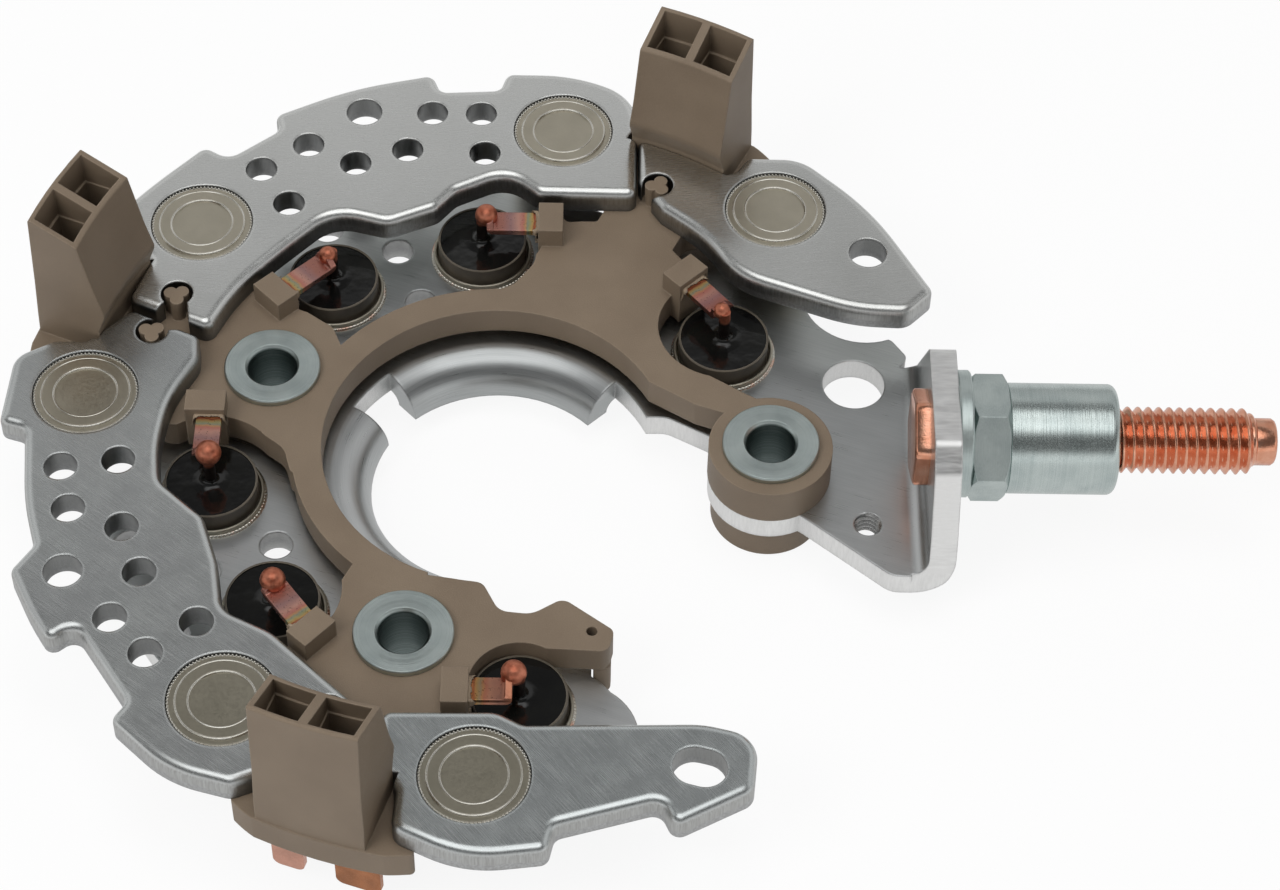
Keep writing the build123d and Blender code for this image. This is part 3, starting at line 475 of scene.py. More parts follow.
# Temper colours from the block to the weld, by the share of the way along the strap
TINT_BANDS = (
    (0.0, (0.55, 0.17, 0.07)), (0.08, (0.74, 0.30, 0.11)), (0.13, (0.42, 0.09, 0.05)),
    (0.18, (0.72, 0.46, 0.16)), (0.25, (0.50, 0.50, 0.24)), (0.31, (0.36, 0.44, 0.33)),
    (0.36, (0.74, 0.42, 0.20)), (0.42, (0.70, 0.27, 0.22)), (0.55, (0.76, 0.42, 0.34)),
    (0.78, (0.46, 0.27, 0.27)), (1.0, (0.50, 0.22, 0.18)),
)
TINT_START = 1.9 * MM
TINT_END = 6.4 * MM
TINT_WANDER = 0.7 * MM
WANDER_WAVES = 900.0
NO_TINT_BELOW = -3.6 * MM
FULL_TINT_ABOVE = -3.0 * MM


def tint_effect():
    """Bands of temper colour at a distance along a strap from a known point."""
    tree, given, made = effect(
        "heat_tint",
        [("Start", "Vector", (0, 0, 0)), ("Direction", "Vector", (1, 0, 0)), ("Amount", "Float", 1.0)],
        [("Colour", "Color"), ("Mask", "Float")],
    )
    place = place_of(tree)
    wander = noise_of(tree, place, WANDER_WAVES, 3.0)
    offset = vector_of(tree, "SUBTRACT", place, given["Start"])
    reach = measure_of(tree, "DOT_PRODUCT", offset, given["Direction"])
    shaken = math_of(tree, "ADD", reach, math_of(tree, "MULTIPLY", wander, TINT_WANDER))
    share = spread_of(tree, shaken, TINT_START, TINT_END)
    tint = ramp_of(tree, share, TINT_BANDS)
    level = parts_of(tree, place)[2]
    above = spread_of(tree, level, NO_TINT_BELOW, FULL_TINT_ABOVE)
    tree.links.new(tint, made["Colour"])
    tree.links.new(math_of(tree, "MULTIPLY", above, given["Amount"]), made["Mask"])
    return tree


heat_tint = tint_effect()
COPPER = (0.80, 0.42, 0.31)
COPPER_RED = (0.52, 0.17, 0.13)
COPPER_ORANGE = (0.50, 0.20, 0.085)


def copper_strip(name, start, heading, copper, amount):
    """Copper strip with its heat tint running from the block to the weld."""
    material, tree, principled = finish(name, Metallic=1.0)
    direction = (math.cos(heading), math.sin(heading), 0)
    tint = place_effect(tree, heat_tint, Start=start, Direction=direction, Amount=amount)
    patches = place_effect(tree, clouding, Size=2.5 * MM)["Patches"]
    fine = place_effect(tree, clouding, Size=0.25 * MM, Detail=4.0)["Patches"]
    bare = blend_of(tree, patches, [0.7 * level for level in copper], copper)
    feed(principled, "Base Color", blend_of(tree, tint["Mask"], bare, tint["Colour"]))
    feed(principled, "Roughness", spread_of(tree, fine, 0, 1, 0.26, 0.46))
    normal = place_effect(tree, edge_band, Radius=0.15 * MM)["Normal"]
    feed(principled, "Normal", bump_of(tree, fine, 0.003 * MM, normal))
    return material


# Blocks that hold the straps: centre in mm, the way the strap runs from it in degrees, and how
# red the weld left its copper and how strong the tint.
STRAP_BLOCKS = [
    (22.9, 25.5, -50, COPPER_RED, 0.75),
    (5.95, 34.15, 180, COPPER, 0.9),
    (-27.8, 21.4, 44, COPPER, 0.85),
    (-34.4, 3.5, -90, COPPER, 0.85),
    (-20.0, -29.55, 127, COPPER, 0.85),
    (-3.35, -37.3, 0, COPPER_ORANGE, 0.4),
]
for number, (x, y, heading, copper, amount) in enumerate(STRAP_BLOCKS, 1):
    name = "phase_terminal_" + str(number)
    strip_finish = copper_strip(
        name + "_finish", (x * MM, y * MM, 0), math.radians(heading), copper, amount
    )
    dress(strip_finish, name)

# Flash: the mould closed on the copper and left a thin ragged lip round each strap at its block.
# It is the carrier's own plastic, taller at the strap's two upper corners, where the mould wore.


def piece_of(name, points, faces, material, crease):
    """A mesh object of points and faces, smooth but for its sharper corners."""
    mesh = bpy.data.meshes.new(name)
    mesh.from_pydata(points, [], faces)
    shape = bmesh.new()
    shape.from_mesh(mesh)
    bmesh.ops.recalc_face_normals(shape, faces=shape.faces)
    shape.to_mesh(mesh)
    shape.free()
    mesh.shade_smooth()
    mesh.set_sharp_from_angle(angle=math.radians(crease))
    mesh.materials.append(material)
    piece = bpy.data.objects.new(name, mesh)
    bpy.context.scene.collection.objects.link(piece)
    return piece


def skin(name, loops, material, crease):
    """A piece through closed loops of points, capped at both ends."""
    count = len(loops[0])
    faces = []
    for i in range(len(loops) - 1):
        for j in range(count):
            k = (j + 1) % count
            faces.append((i * count + j, i * count + k, (i + 1) * count + k, (i + 1) * count + j))
    last = (len(loops) - 1) * count
    faces.append(tuple(reversed(range(count))))
    faces.append(tuple(range(last, last + count)))
    return piece_of(name, [point for loop in loops for point in loop], faces, material, crease)


# The lip in mm: its path over the strap seen from the front, how far it is rooted in the block,
# its thickness there and at the tip, its height, and where the worn corners of the mould raise it
FLASH_PATH = (
    Vector((-2.1, -3.0)), Vector((-1.72, -1.2)), Vector((1.72, -1.2)), Vector((2.1, -3.0)),
)
FLASH_SAMPLES = 60
FLASH_ROOT = -0.4
FLASH_THICK = 0.1
FLASH_TIP = 0.05
FLASH_HEIGHT = 0.2
FLASH_RAGGED = 0.25
WORN_FROM_MIDDLE = 1.9
WORN_WIDTH = 0.5
WORN_HEIGHT = (0.3, 0.6)
WORN_CURL = 0.12
BLOCK_FACE = 1.55
flash_finish = moulded_plastic("moulded_flash", (0.24, 0.18, 0.12), (0.33, 0.25, 0.17))


def flash_point(distance):
    """The place at a distance along the lip's path over the strap, and the way out from the strap."""
    for start, end in zip(FLASH_PATH, FLASH_PATH[1:]):
        length = (end - start).length
        if distance <= length:
            break
        distance -= length
    run = (end - start) / length
    return start + run * min(distance, length), Vector((-run.y, run.x))


def flash_lip(name, centre, heading, seed):
    """One ragged lip, as a thin strip that stands out of the block's face along the strap."""
    rough = random.Random(seed)
    ahead = Vector((math.cos(heading), math.sin(heading), 0))
    beside = Vector((-math.sin(heading), math.cos(heading), 0))
    total = sum((end - start).length for start, end in zip(FLASH_PATH, FLASH_PATH[1:]))
    loops = []
    for k in range(FLASH_SAMPLES):
        distance = total * k / (FLASH_SAMPLES - 1)
        spot, out = flash_point(distance)
        worn = math.exp(-((abs(distance - total / 2) - WORN_FROM_MIDDLE) / WORN_WIDTH) ** 2)
        height = FLASH_HEIGHT + rough.uniform(0, FLASH_RAGGED) + worn * rough.uniform(*WORN_HEIGHT)
        curl = worn * rough.uniform(0, WORN_CURL)
        section = (
            (FLASH_ROOT, 0), (height, curl), (height, curl + FLASH_TIP), (FLASH_ROOT, FLASH_THICK),
        )
        loop = []
        for reach, lift in section:
            place = spot + out * lift
            offset = ahead * (BLOCK_FACE + reach) + beside * place.x + Vector((0, 0, place.y))
            loop.append(centre + offset * MM)
        loops.append(loop)
    lip = skin(name, loops, flash_finish, 35)
    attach(lip, "root")


for number, (x, y, heading, copper, amount) in enumerate(STRAP_BLOCKS, 1):
    flash_lip("strap_flash_" + str(number), Vector((x, y, 0)) * MM, math.radians(heading), number)

# Diodes: nickel-plated copper cups with a knurled rim, pressed into the plates and potted.
# The negative ones show their stepped base, the positive ones their glossy potting and lead.


def cup_finish():
    """Dull warm nickel over copper, with a painted highlight on its corners and painted shade toward
    the front.
    """
    material, tree, principled = finish("nickel_cup", Metallic=1.0)
    patches = place_effect(tree, clouding, Size=4 * MM)["Patches"]
    fine = place_effect(tree, clouding, Size=0.3 * MM, Detail=4.0)["Patches"]
    corner = place_effect(tree, edge_band, Radius=0.2 * MM)
    tone = blend_of(tree, patches, (0.53, 0.49, 0.395), (0.60, 0.555, 0.45))
    place = place_of(tree)
    level = parts_of(tree, place)[1]
    # Painted shade, darker toward the front
    front_shade = spread_of(tree, level, -45 * MM, 20 * MM, 0.55, 0.0)
    tone = blend_of(tree, front_shade, tone, (0.20, 0.185, 0.14))
    # Painted highlight on the corners
    bright = math_of(tree, "MULTIPLY", corner["Corner"], 0.7)
    feed(principled, "Base Color", blend_of(tree, bright, tone, (0.82, 0.79, 0.70)))
    feed(principled, "Roughness", spread_of(tree, fine, 0, 1, 0.3, 0.42))
    feed(principled, "Normal", bump_of(tree, fine, 0.004 * MM, corner["Normal"]))
    return material


def potting_finish():
    """Black cast resin, glossy, with a slow ripple in its skin."""
    material, tree, principled = finish("black_potting")
    patches = place_effect(tree, clouding, Size=3.5 * MM)["Patches"]
    fine = place_effect(tree, clouding, Size=0.5 * MM, Detail=3.0)["Patches"]
    tone = blend_of(tree, patches, (0.004, 0.004, 0.004), (0.007, 0.007, 0.006))
    feed(principled, "Base Color", tone)
    feed(principled, "Roughness", spread_of(tree, fine, 0, 1, 0.07, 0.13))
    feed(principled, "Normal", bump_of(tree, patches, 0.03 * MM))
    return material


def lead_finish():
    """Bare copper fused to a bead, darker and duller down the lead."""
    material, tree, principled = finish("lead_copper", Metallic=1.0)
    place = place_of(tree)
    level = parts_of(tree, place)[2]
    fused = spread_of(tree, level, -2.3 * MM, -1.8 * MM)
    patches = place_effect(tree, clouding, Size=0.9 * MM)["Patches"]
    bead = blend_of(tree, patches, (0.50, 0.15, 0.085), (0.76, 0.30, 0.19))
    feed(principled, "Base Color", blend_of(tree, fused, (0.07, 0.055, 0.05), bead))
    feed(principled, "Roughness", spread_of(tree, patches, 0, 1, 0.38, 0.5))
    feed(principled, "Normal", bump_of(tree, patches, 0.04 * MM))
    return material


def sleeve_finish():
    """Thin brown insulating sleeve with a paler rim."""
    material, tree, principled = finish("brown_sleeve", Specular_IOR_Level=0.5)
    patches = place_effect(tree, clouding, Size=2 * MM)["Patches"]
    corner = place_effect(tree, edge_band, Radius=0.15 * MM)
    tone = blend_of(tree, patches, (0.065, 0.055, 0.042), (0.095, 0.078, 0.058))
    rimmed = blend_of(tree, corner["Corner"], tone, (0.20, 0.175, 0.135))
    feed(principled, "Base Color", rimmed)
    feed(principled, "Roughness", spread_of(tree, patches, 0, 1, 0.3, 0.42))
    return material


def chip_finish():
    """Polished silicon, sealed inside the potting."""
    material, tree, principled = finish("silicon_chip", Metallic=0.3)
    patches = place_effect(tree, clouding, Size=1 * MM)["Patches"]
    tone = blend_of(tree, patches, (0.16, 0.16, 0.18), (0.24, 0.24, 0.27))
    feed(principled, "Base Color", tone)
    feed(principled, "Roughness", spread_of(tree, patches, 0, 1, 0.15, 0.25))
    return material


cup_nickel = cup_finish()
potting_black = potting_finish()
lead_copper = lead_finish()
for side in ("positive", "negative"):
    for number in range(1, 7):
        diode = side + "_diode_" + str(number)
        dress(cup_nickel, diode + "_cup")
        dress(potting_black, diode + "_potting")
        dress(lead_copper, diode + "_lead")
dress(sleeve_finish(), "diode_sleeves")
dress(chip_finish(), "diode_chips")

# Cup rings: a knurl is rolled round each nickel-plated cup, and its teeth are swaged over as it is
# pressed in. It shows on the upper cups' rims and where the lower cups leave their plate. Two steps
# drawn between each base's centre and its shoulder have rounded corners.


def ringed_piece(name, centres, section_at, around, material):
    """One piece of closed rings: a section of (radius, height) in mm carried round each centre."""
    points = []
    faces = []
    for centre in centres:
        first = len(points)
        for k in range(around):
            angle = 2 * math.pi * k / around
            section = section_at(k)
            count = len(section)
            for radius, height in section:
                offset = Vector((radius * math.cos(angle), radius * math.sin(angle), height))
                points.append(centre + offset * MM)
            here = first + k * count
            ahead = first + (k + 1) % around * count
            for i in range(count):
                j = (i + 1) % count
                faces.append((here + i, here + j, ahead + j, ahead + i))
    piece = piece_of(name, points, faces, material, 60)
    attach(piece, "root")


def bright_nickel():
    """Nickel rubbed bright where the cup was pressed, with copper showing through low down; on the
    bases' steps the pale tone is a painted highlight.
    """
    material, tree, principled = finish("rubbed_nickel_and_highlight", Metallic=1.0)
    wear = place_effect(tree, clouding, Size=2.5 * MM)["Patches"]
    fine = place_effect(tree, clouding, Size=0.2 * MM, Detail=4.0)["Patches"]
    place = place_of(tree)
    level = parts_of(tree, place)[2]
    low = spread_of(tree, level, -8.0 * MM, -7.0 * MM, 0.8, 0.0)
    copper = math_of(tree, "MULTIPLY", low, spread_of(tree, wear, 0.55, 0.8))
    tone = blend_of(tree, wear, (0.66, 0.63, 0.55), (0.86, 0.84, 0.77))
    feed(principled, "Base Color", blend_of(tree, copper, tone, (0.80, 0.46, 0.33)))
    feed(principled, "Roughness", spread_of(tree, fine, 0, 1, 0.18, 0.3))
    feed(principled, "Normal", bump_of(tree, fine, 0.004 * MM))
    return material


rubbed_nickel_and_highlight = bright_nickel()
KNURL_TEETH = 84
TOOTH_STEPS = 8


def tooth_at(k):
    """How far a point round the cup is up the knurl's nearest tooth."""
    return 0.5 - 0.5 * math.cos(2 * math.pi * k / TOOTH_STEPS)


def knurl_section(k):
    """Section of the knurl on an upper cup's rim, below its base face."""
    tooth = tooth_at(k)
    return (
        (5.94, -0.27), (6.04, -0.24 + 0.1 * tooth), (6.15, -0.24 + 0.2 * tooth),
        (6.28, -0.32 + 0.24 * tooth), (6.36, -0.46 + 0.22 * tooth), (6.37, -0.7), (5.94, -0.7),
    )


def seat_section(k):
    """Section of the knurl where a lower cup leaves its plate, below the potting's face."""
    tooth = tooth_at(k)
    return (
        (6.2, -2.6), (6.29, -2.64 + 0.06 * tooth), (6.4, -2.74 + 0.1 * tooth),
        (6.5, -2.82 + 0.06 * tooth), (6.56, -2.87), (6.56, -2.95), (6.2, -2.95),
    )


# The rounded corner of a step, in mm: the two steps' radii, and the bead that rounds each one
INNER_STEP = 3.83
OUTER_STEP = 5.27
STEP_SAMPLES = 96
BEAD_RADIUS = 0.17
BEAD_SUNK = 0.13
BEAD_SIDES = 10


def bead_at(radius):
    """Section of a round bead at one of the base's two steps."""
    bead = []
    for i in range(BEAD_SIDES):
        angle = 2 * math.pi * i / BEAD_SIDES
        height = BEAD_RADIUS * math.sin(angle) - BEAD_SUNK
        bead.append((radius + BEAD_RADIUS * math.cos(angle), height))
    return bead


def inner_section(k):
    """Section of the inner step, the same all round."""
    return bead_at(INNER_STEP)


def outer_section(k):
    """Section of the outer step, the same all round."""
    return bead_at(OUTER_STEP)


def centres_of(side, part):
    """The middle of the top face of one part of each of six diodes."""
    centres = []
    for number in range(1, 7):
        low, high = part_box(side + "_diode_" + str(number) + "_" + part)
        centres.append(Vector(((low.x + high.x) / 2, (low.y + high.y) / 2, high.z)))
    return centres


TEETH_AROUND = KNURL_TEETH * TOOTH_STEPS
base_centres = centres_of("negative", "cup")
potting_centres = centres_of("positive", "potting")
ringed_piece("cup_knurls", base_centres, knurl_section, TEETH_AROUND, rubbed_nickel_and_highlight)
ringed_piece("seat_knurls", potting_centres, seat_section, TEETH_AROUND, rubbed_nickel_and_highlight)
# The steps' pale nickel is a painted highlight along their rounded corners
ringed_piece("inner_steps", base_centres, inner_section, STEP_SAMPLES, rubbed_nickel_and_highlight)
ringed_piece("outer_steps", base_centres, outer_section, STEP_SAMPLES, rubbed_nickel_and_highlight)

# Menisci: black resin that climbs a little up each of the six leads that stand in it.
# The lower cups are potted by pouring, and the resin keeps its wetted curve as it cures.

MENISCUS_SAMPLES = 64


def lead_section(k):
    """Section of the potting that climbs the lead, the same all round."""
    return (
        (0.66, 0.95), (0.76, 0.60), (0.90, 0.36), (1.12, 0.19), (1.45, 0.08), (1.9, 0.02),
        (2.4, -0.004), (2.4, -0.1), (0.66, -0.1),
    )


ringed_piece(
    "lead_menisci", potting_centres, lead_section, MENISCUS_SAMPLES, potting_black
)

# Bushes: three flanged steel bushes through carrier, lower plate and collar, for 5 mm screws.
# They are turned from bar and zinc plated, so the flange shows rings and a blue-grey bloom.


def turning_effect():
    """Rings round an axis, as a lathe tool leaves them."""
    tree, given, made = effect(
        "turning_marks",
        [("Centre", "Vector", (0, 0, 0)), ("Axis", "Vector", (0, 0, 1)), ("Width", "Float", 0.12 * MM)],
        [("Rings", "Float")],
    )
    place = place_of(tree)
    offset = vector_of(tree, "SUBTRACT", place, given["Centre"])
    along = measure_of(tree, "DOT_PRODUCT", offset, given["Axis"])
    onto = scaled_by(tree, given["Axis"], along)
    out = vector_of(tree, "SUBTRACT", offset, onto)
    radius = measure_of(tree, "LENGTH", out)
    profile = vector_from(tree, radius, along)
    scale = math_of(tree, "DIVIDE", 1.0, given["Width"])
    noise = noise_of(tree, profile, scale, 3.0)
    tree.links.new(spread_of(tree, noise, 0.3, 0.7), made["Rings"])
    return tree


turning_marks = turning_effect()
ZINC = (0.56, 0.63, 0.61)
ZINC_DARK = (0.43, 0.50, 0.49)
# Painted shade colour down a bore
ZINC_BORE_SHADE = (0.10, 0.13, 0.125)


def zinc_plate(name, centre, axis, roughness, ring_depth, bore=0.0):
    """Zinc plating over turned or pressed steel, with painted shade down an upright bore."""
    material, tree, principled = finish(name, Metallic=1.0, Anisotropic=0.6)
    spot = place_of(tree)
    from_axis = vector_of(tree, "SUBTRACT", spot, centre)
    around = vector_of(tree, "CROSS_PRODUCT", axis, from_axis)
    feed(principled, "Tangent", around)
    rings = place_effect(tree, turning_marks, Centre=centre, Axis=axis)["Rings"]
    patches = place_effect(tree, clouding, Size=3 * MM)["Patches"]
    crystals = place_effect(tree, clouding, Size=0.18 * MM, Detail=3.0)["Patches"]
    corner = place_effect(tree, edge_band, Radius=0.2 * MM)
    tone = blend_of(tree, patches, ZINC_DARK, ZINC)
    ringed = blend_of(tree, math_of(tree, "MULTIPLY", rings, 0.35), tone, (0.74, 0.80, 0.79))
    # Down the bore the zinc is painted dark as shade
    if bore:
        flat = vector_of(tree, "MULTIPLY", from_axis, (1, 1, 0))
        radius = measure_of(tree, "LENGTH", flat)
        in_bore = spread_of(tree, radius, bore + 0.08 * MM, bore + 0.16 * MM, 1.0, 0.0)
        painted_shade = blend_of(tree, math_of(tree, "MULTIPLY", rings, 0.5), ZINC_BORE_SHADE, ZINC_DARK)
        ringed = blend_of(tree, in_bore, ringed, painted_shade)
    feed(principled, "Base Color", ringed)
    rough = spread_of(tree, crystals, 0, 1, roughness - 0.06, roughness + 0.06)
    feed(principled, "Roughness", rough)
    feed(principled, "Normal", bump_of(tree, rings, ring_depth, corner["Normal"]))
    return material


BUSH_BORE = 2.9 * MM
for number in (1, 2, 3):
    bush = "bush_" + str(number)
    low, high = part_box(bush)
    middle = (low + high) / 2
    bush_finish = zinc_plate(bush + "_finish", middle, (0, 0, 1), 0.34, 0.012 * MM, BUSH_BORE)
    dress(bush_finish, bush)

# Output stud: an M8 stud, copper plated, with a flat head behind the ear and a plain pilot end.
# A zinc-plated washer and nut clamp it to the ear, and a turned sleeve spaces the cable lug.

STUD_LEVEL = -1.03 * MM
STUD_AXIS = (1, 0, 0)
stud_centre = Vector((0, 0, STUD_LEVEL))
zinc_hardware = zinc_plate("zinc_hardware", stud_centre, STUD_AXIS, 0.34, 0.006 * MM)
sleeve_zinc = zinc_plate("sleeve_zinc", stud_centre, STUD_AXIS, 0.22, 0.012 * MM)
dress(zinc_hardware, "b_plus_washer", "b_plus_nut")
dress(sleeve_zinc, "b_plus_sleeve")

HEAD_FLATS = 10.5 * MM
HEAD_CORNERS = 1.11
HEAD_START = 49.9 * MM
EAR_OUTER = 55.0 * MM
PRESS_RADIUS = 4.4 * MM
PITCH_RADIUS = 3.6 * MM
THREAD_RADIUS = 4.0 * MM
THREAD_START = 72.5 * MM
THREAD_FADE = 89.7 * MM
THREAD_END = 91.0 * MM
THREAD_PITCH = 1.25 * MM
THREAD_ROOT = 3.32 * MM
THREAD_CREST = 1.12
LOOPS_PER_TURN = 14
PILOT_RADIUS = 2.85 * MM
STUD_END = 93.45 * MM
STUD_SAMPLES = 96


def hexagon_radius(angle):
    """How far the head's edge is from the axis, with its corners turned off."""
    folded = (angle + math.pi / 6) % (math.pi / 3) - math.pi / 6
    return min(HEAD_FLATS / 2 / math.cos(folded), HEAD_FLATS / 2 * HEAD_CORNERS)


def thread_radius(x, angle):
    """The thread's surface: straight flanks, a narrow flat crest, and a run-out at its end."""
    turn = (x / THREAD_PITCH - angle / (2 * math.pi)) % 1
    rise = min(1, THREAD_CREST * (1 - abs(2 * turn - 1)))
    full = THREAD_ROOT + (THREAD_RADIUS - THREAD_ROOT) * rise
    fade = min(1, max(0, (x - THREAD_FADE) / (THREAD_END - THREAD_FADE)))
    return full + (PILOT_RADIUS - full) * fade * fade


def stud_loop(x, radius_at):
    """Points round the stud's axis at one place along it."""
    loop = []
    for k in range(STUD_SAMPLES):
        angle = 2 * math.pi * k / STUD_SAMPLES
        radius = radius_at(angle)
        loop.append((x, radius * math.cos(angle), STUD_LEVEL + radius * math.sin(angle)))
    return loop


def copper_plate():
    """Bright copper plating on a rolled stud, with slow changes between red and pale copper."""
    material, tree, principled = finish("stud_copper", Metallic=1.0)
    patches = place_effect(tree, clouding, Size=1.6 * MM)["Patches"]
    fine = place_effect(tree, clouding, Size=0.2 * MM, Detail=4.0)["Patches"]
    tone = blend_of(tree, patches, (0.72, 0.31, 0.19), (0.86, 0.46, 0.32))
    feed(principled, "Base Color", tone)
    feed(principled, "Roughness", spread_of(tree, fine, 0, 1, 0.15, 0.24))
    feed(principled, "Normal", bump_of(tree, fine, 0.006 * MM))
    return material


# The head's rounded face, as places along the axis and shares of the hexagon there
HEAD_PROFILE = (
    (HEAD_START, 0.9), (HEAD_START + 0.12 * MM, 0.96), (HEAD_START + 0.35 * MM, 1.0), (EAR_INNER, 1.0),
)
# The shank through the ear, and under washer, nut and sleeve
SHANK_PROFILE = (
    (EAR_INNER, PRESS_RADIUS), (EAR_OUTER, PRESS_RADIUS),
    (EAR_OUTER, PITCH_RADIUS), (THREAD_START, PITCH_RADIUS),
)
PILOT_PROFILE = (
    (STUD_END - 0.5 * MM, PILOT_RADIUS), (STUD_END - 0.12 * MM, 2.6 * MM), (STUD_END, 2.35 * MM),
)
stud_loops = []
for x, share in HEAD_PROFILE:
    stud_loops.append(stud_loop(x, lambda angle, share=share: share * hexagon_radius(angle)))
for x, radius in SHANK_PROFILE:
    stud_loops.append(stud_loop(x, lambda angle, radius=radius: radius))
steps = round((THREAD_END - THREAD_START) / (THREAD_PITCH / LOOPS_PER_TURN))
for i in range(1, steps + 1):
    x = THREAD_START + (THREAD_END - THREAD_START) * i / steps
    stud_loops.append(stud_loop(x, lambda angle, x=x: thread_radius(x, angle)))
for x, radius in PILOT_PROFILE:
    stud_loops.append(stud_loop(x, lambda angle, radius=radius: radius))
stud = skin("output_stud", stud_loops, copper_plate(), 50)
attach(stud, "root")
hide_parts("b_plus_stud")

# Tapped hole: the lower plate is tapped beside the ear for a cover screw.
# The tap cut straight, sharp flanks in the aluminium, so the turns catch the light down the hole.

TAPPED_CENTRE = Vector((44.9, -7.8, 0)) * MM
TAPPED_TURNS = 4.3
TAPPED_PITCH = 0.7
TAPPED_LOW = -11.4
TAPPED_STEPS = 48
# Section of a ridge between two turns, as radius and height in mm: wide at the wall, narrow inside
RIDGE_SECTION = ((1.7, -0.27), (1.4, -0.03), (1.4, 0.03), (1.7, 0.27))
ridge_loops = []
for k in range(round(TAPPED_TURNS * TAPPED_STEPS)):
    angle = 2 * math.pi * k / TAPPED_STEPS
    level = TAPPED_LOW + TAPPED_PITCH * k / TAPPED_STEPS
    ridge = []
    for radius, lift in RIDGE_SECTION:
        offset = Vector((radius * math.cos(angle), radius * math.sin(angle), level + lift))
        ridge.append(TAPPED_CENTRE + offset * MM)
    ridge_loops.append(ridge)


def cut_aluminium():
    """Bright, freshly cut aluminium inside the tapped hole."""
    material, tree, principled = finish("cut_aluminium", Metallic=1.0)
    fine = place_effect(tree, clouding, Size=0.15 * MM, Detail=3.0)["Patches"]
    tone = blend_of(tree, fine, (0.62, 0.62, 0.61), (0.78, 0.78, 0.77))
    feed(principled, "Base Color", tone)
    feed(principled, "Roughness", spread_of(tree, fine, 0, 1, 0.24, 0.36))
    return material


ridges = skin("tapped_thread", ridge_loops, cut_aluminium(), 30)
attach(ridges, "root")

# Floor: a plain white table at the object's lowest level, matt painted, which keeps its shadow.
# It glows white to the camera and a little less in reflections, so that the lamps can stay low.

FLOOR_LEVEL = cad_box[0].z
FLOOR_HALF = 2.0
GLOW_IN_METAL = 0.72
GLOW_SHARE = 0.9
corners = []
for x, y in ((-1, -1), (1, -1), (1, 1), (-1, 1)):
    corners.append((x * FLOOR_HALF, y * FLOOR_HALF))
floor_mesh = bpy.data.meshes.new("floor")
floor_mesh.from_pydata([(x, y, FLOOR_LEVEL) for x, y in corners], [], [(0, 1, 2, 3)])
floor = bpy.data.objects.new("floor", floor_mesh)
bpy.context.scene.collection.objects.link(floor)


def floor_finish():
    """White floor, kept white for the eye and a little darker in reflections, with a faint shadow."""
    material, tree, principled = finish("floor_white", Roughness=0.8)
    principled.inputs["Base Color"].default_value = (0.86, 0.86, 0.86, 1)
    rays = add(tree, "LightPath").outputs
    level = mix_of(tree, rays["Is Camera Ray"], GLOW_IN_METAL, 1.0)
    glow = add(tree, "Emission", {"Color": (1, 1, 1, 1), "Strength": level}).outputs[0]
    bent = math_of(tree, "MAXIMUM", rays["Is Glossy Ray"], rays["Is Transmission Ray"])
    seen_by = math_of(tree, "MAXIMUM", rays["Is Camera Ray"], bent)
    share = math_of(tree, "MULTIPLY", seen_by, GLOW_SHARE)
    mixed = add(tree, "MixShader", {0: share, 1: principled.outputs[0], 2: glow}).outputs[0]
    tree.links.new(mixed, tree.nodes["Material Output"].inputs["Surface"])
    return material


floor_mesh.materials.append(floor_finish())

# Studio: white to the camera, and to reflections a room in bands by height: a wall, a dark band,
# and a bright one round the zenith. The wall is grey behind the object and pale before it, so that
# plates, ear and cups each show the tone that they have in such a room.

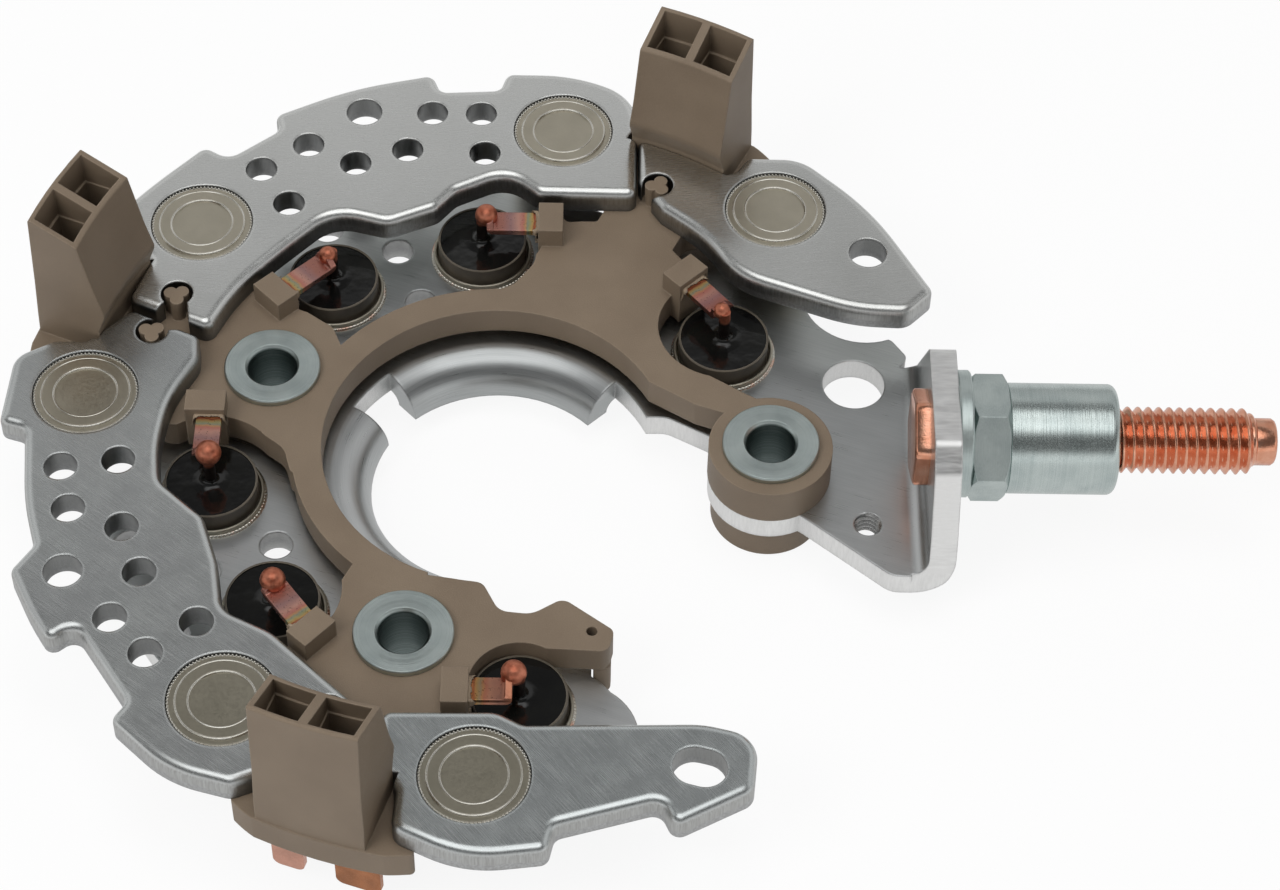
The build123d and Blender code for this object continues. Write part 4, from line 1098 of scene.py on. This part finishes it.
# Each band's height, which is nought at the horizon and one straight up, and its level
BEHIND_LEVELS = (
    (0.0, 0.35), (0.1, 0.45), (0.42, 0.55), (0.71, 0.60), (0.765, 0.24), (0.80, 0.14), (0.91, 0.14),
    (0.955, 1.6), (0.98, 1.6), (0.995, 0.85),
)
BEFORE_LEVELS = (
    (0.0, 0.95), (0.28, 0.95), (0.40, 0.16), (0.84, 0.14), (0.925, 1.6), (0.98, 1.6), (0.995, 0.85),
)
BEHIND_FROM = -0.15
BEHIND_FULL = 0.15
world = bpy.data.worlds.new("studio")
bpy.context.scene.world = world
world.use_nodes = True
sky = world.node_tree
direction = parts_of(sky, add(sky, "TexCoord").outputs["Generated"])
behind = ramp_of(sky, direction[2], [(height, (level,) * 3) for height, level in BEHIND_LEVELS])
before = ramp_of(sky, direction[2], [(height, (level,) * 3) for height, level in BEFORE_LEVELS])
side = spread_of(sky, direction[1], BEHIND_FROM, BEHIND_FULL)
studio = blend_of(sky, side, before, behind)
camera_ray = add(sky, "LightPath").outputs["Is Camera Ray"]
seen = blend_of(sky, camera_ray, studio, (1, 1, 1))
sky.links.new(seen, sky.nodes["Background"].inputs["Color"])
sky.nodes["Background"].inputs["Strength"].default_value = 1.0

# Lamps: two square softboxes, one high at the front left and one overhead, for soft even light.
# Metal doesn't show them, because the studio's bands already give it its highlights.

# Each lamp's place, size and power
LAMPS = {
    "key_softbox": ((-0.38, -0.32, 0.55), 0.35, 2.2),
    "top_softbox": ((0.05, 0.10, 0.75), 0.35, 1.2),
}
lamp_aim = Vector((0.01, 0, 0))
for name, (place, size, power) in LAMPS.items():
    lamp = bpy.data.lights.new(name, "AREA")
    lamp.energy = power
    lamp.shape = "SQUARE"
    lamp.size = size
    holder = bpy.data.objects.new(name, lamp)
    holder.location = place
    holder.rotation_euler = (lamp_aim - Vector(place)).to_track_quat("-Z", "Y").to_euler()
    holder.visible_glossy = False
    bpy.context.scene.collection.objects.link(holder)

# Camera: looks down from the front, with its place, aim, roll and lens fitted together to the
# six upper cups, the three bush flanges and the stud as they stand in the photograph.

CAMERA_PLACE = Vector((13.08, -247.80, 306.28)) * MM
CAMERA_AIM = Vector((17.36, -2.73, 0)) * MM
CAMERA_ROLL = math.radians(1.628)
CAMERA_LENS = 92.70
CAMERA_SENSOR = 36
lens = bpy.data.cameras.new("camera")
lens.lens = CAMERA_LENS
lens.sensor_width = CAMERA_SENSOR
lens.clip_start = 0.01
camera = bpy.data.objects.new("camera", lens)
camera.location = CAMERA_PLACE
aimed = (CAMERA_AIM - CAMERA_PLACE).to_track_quat("-Z", "Y")
camera.rotation_mode = "QUATERNION"
camera.rotation_quaternion = aimed @ Quaternion((0, 0, 1), CAMERA_ROLL)
bpy.context.scene.collection.objects.link(camera)
bpy.context.scene.camera = camera
bpy.context.scene.view_settings.view_transform = "Standard"
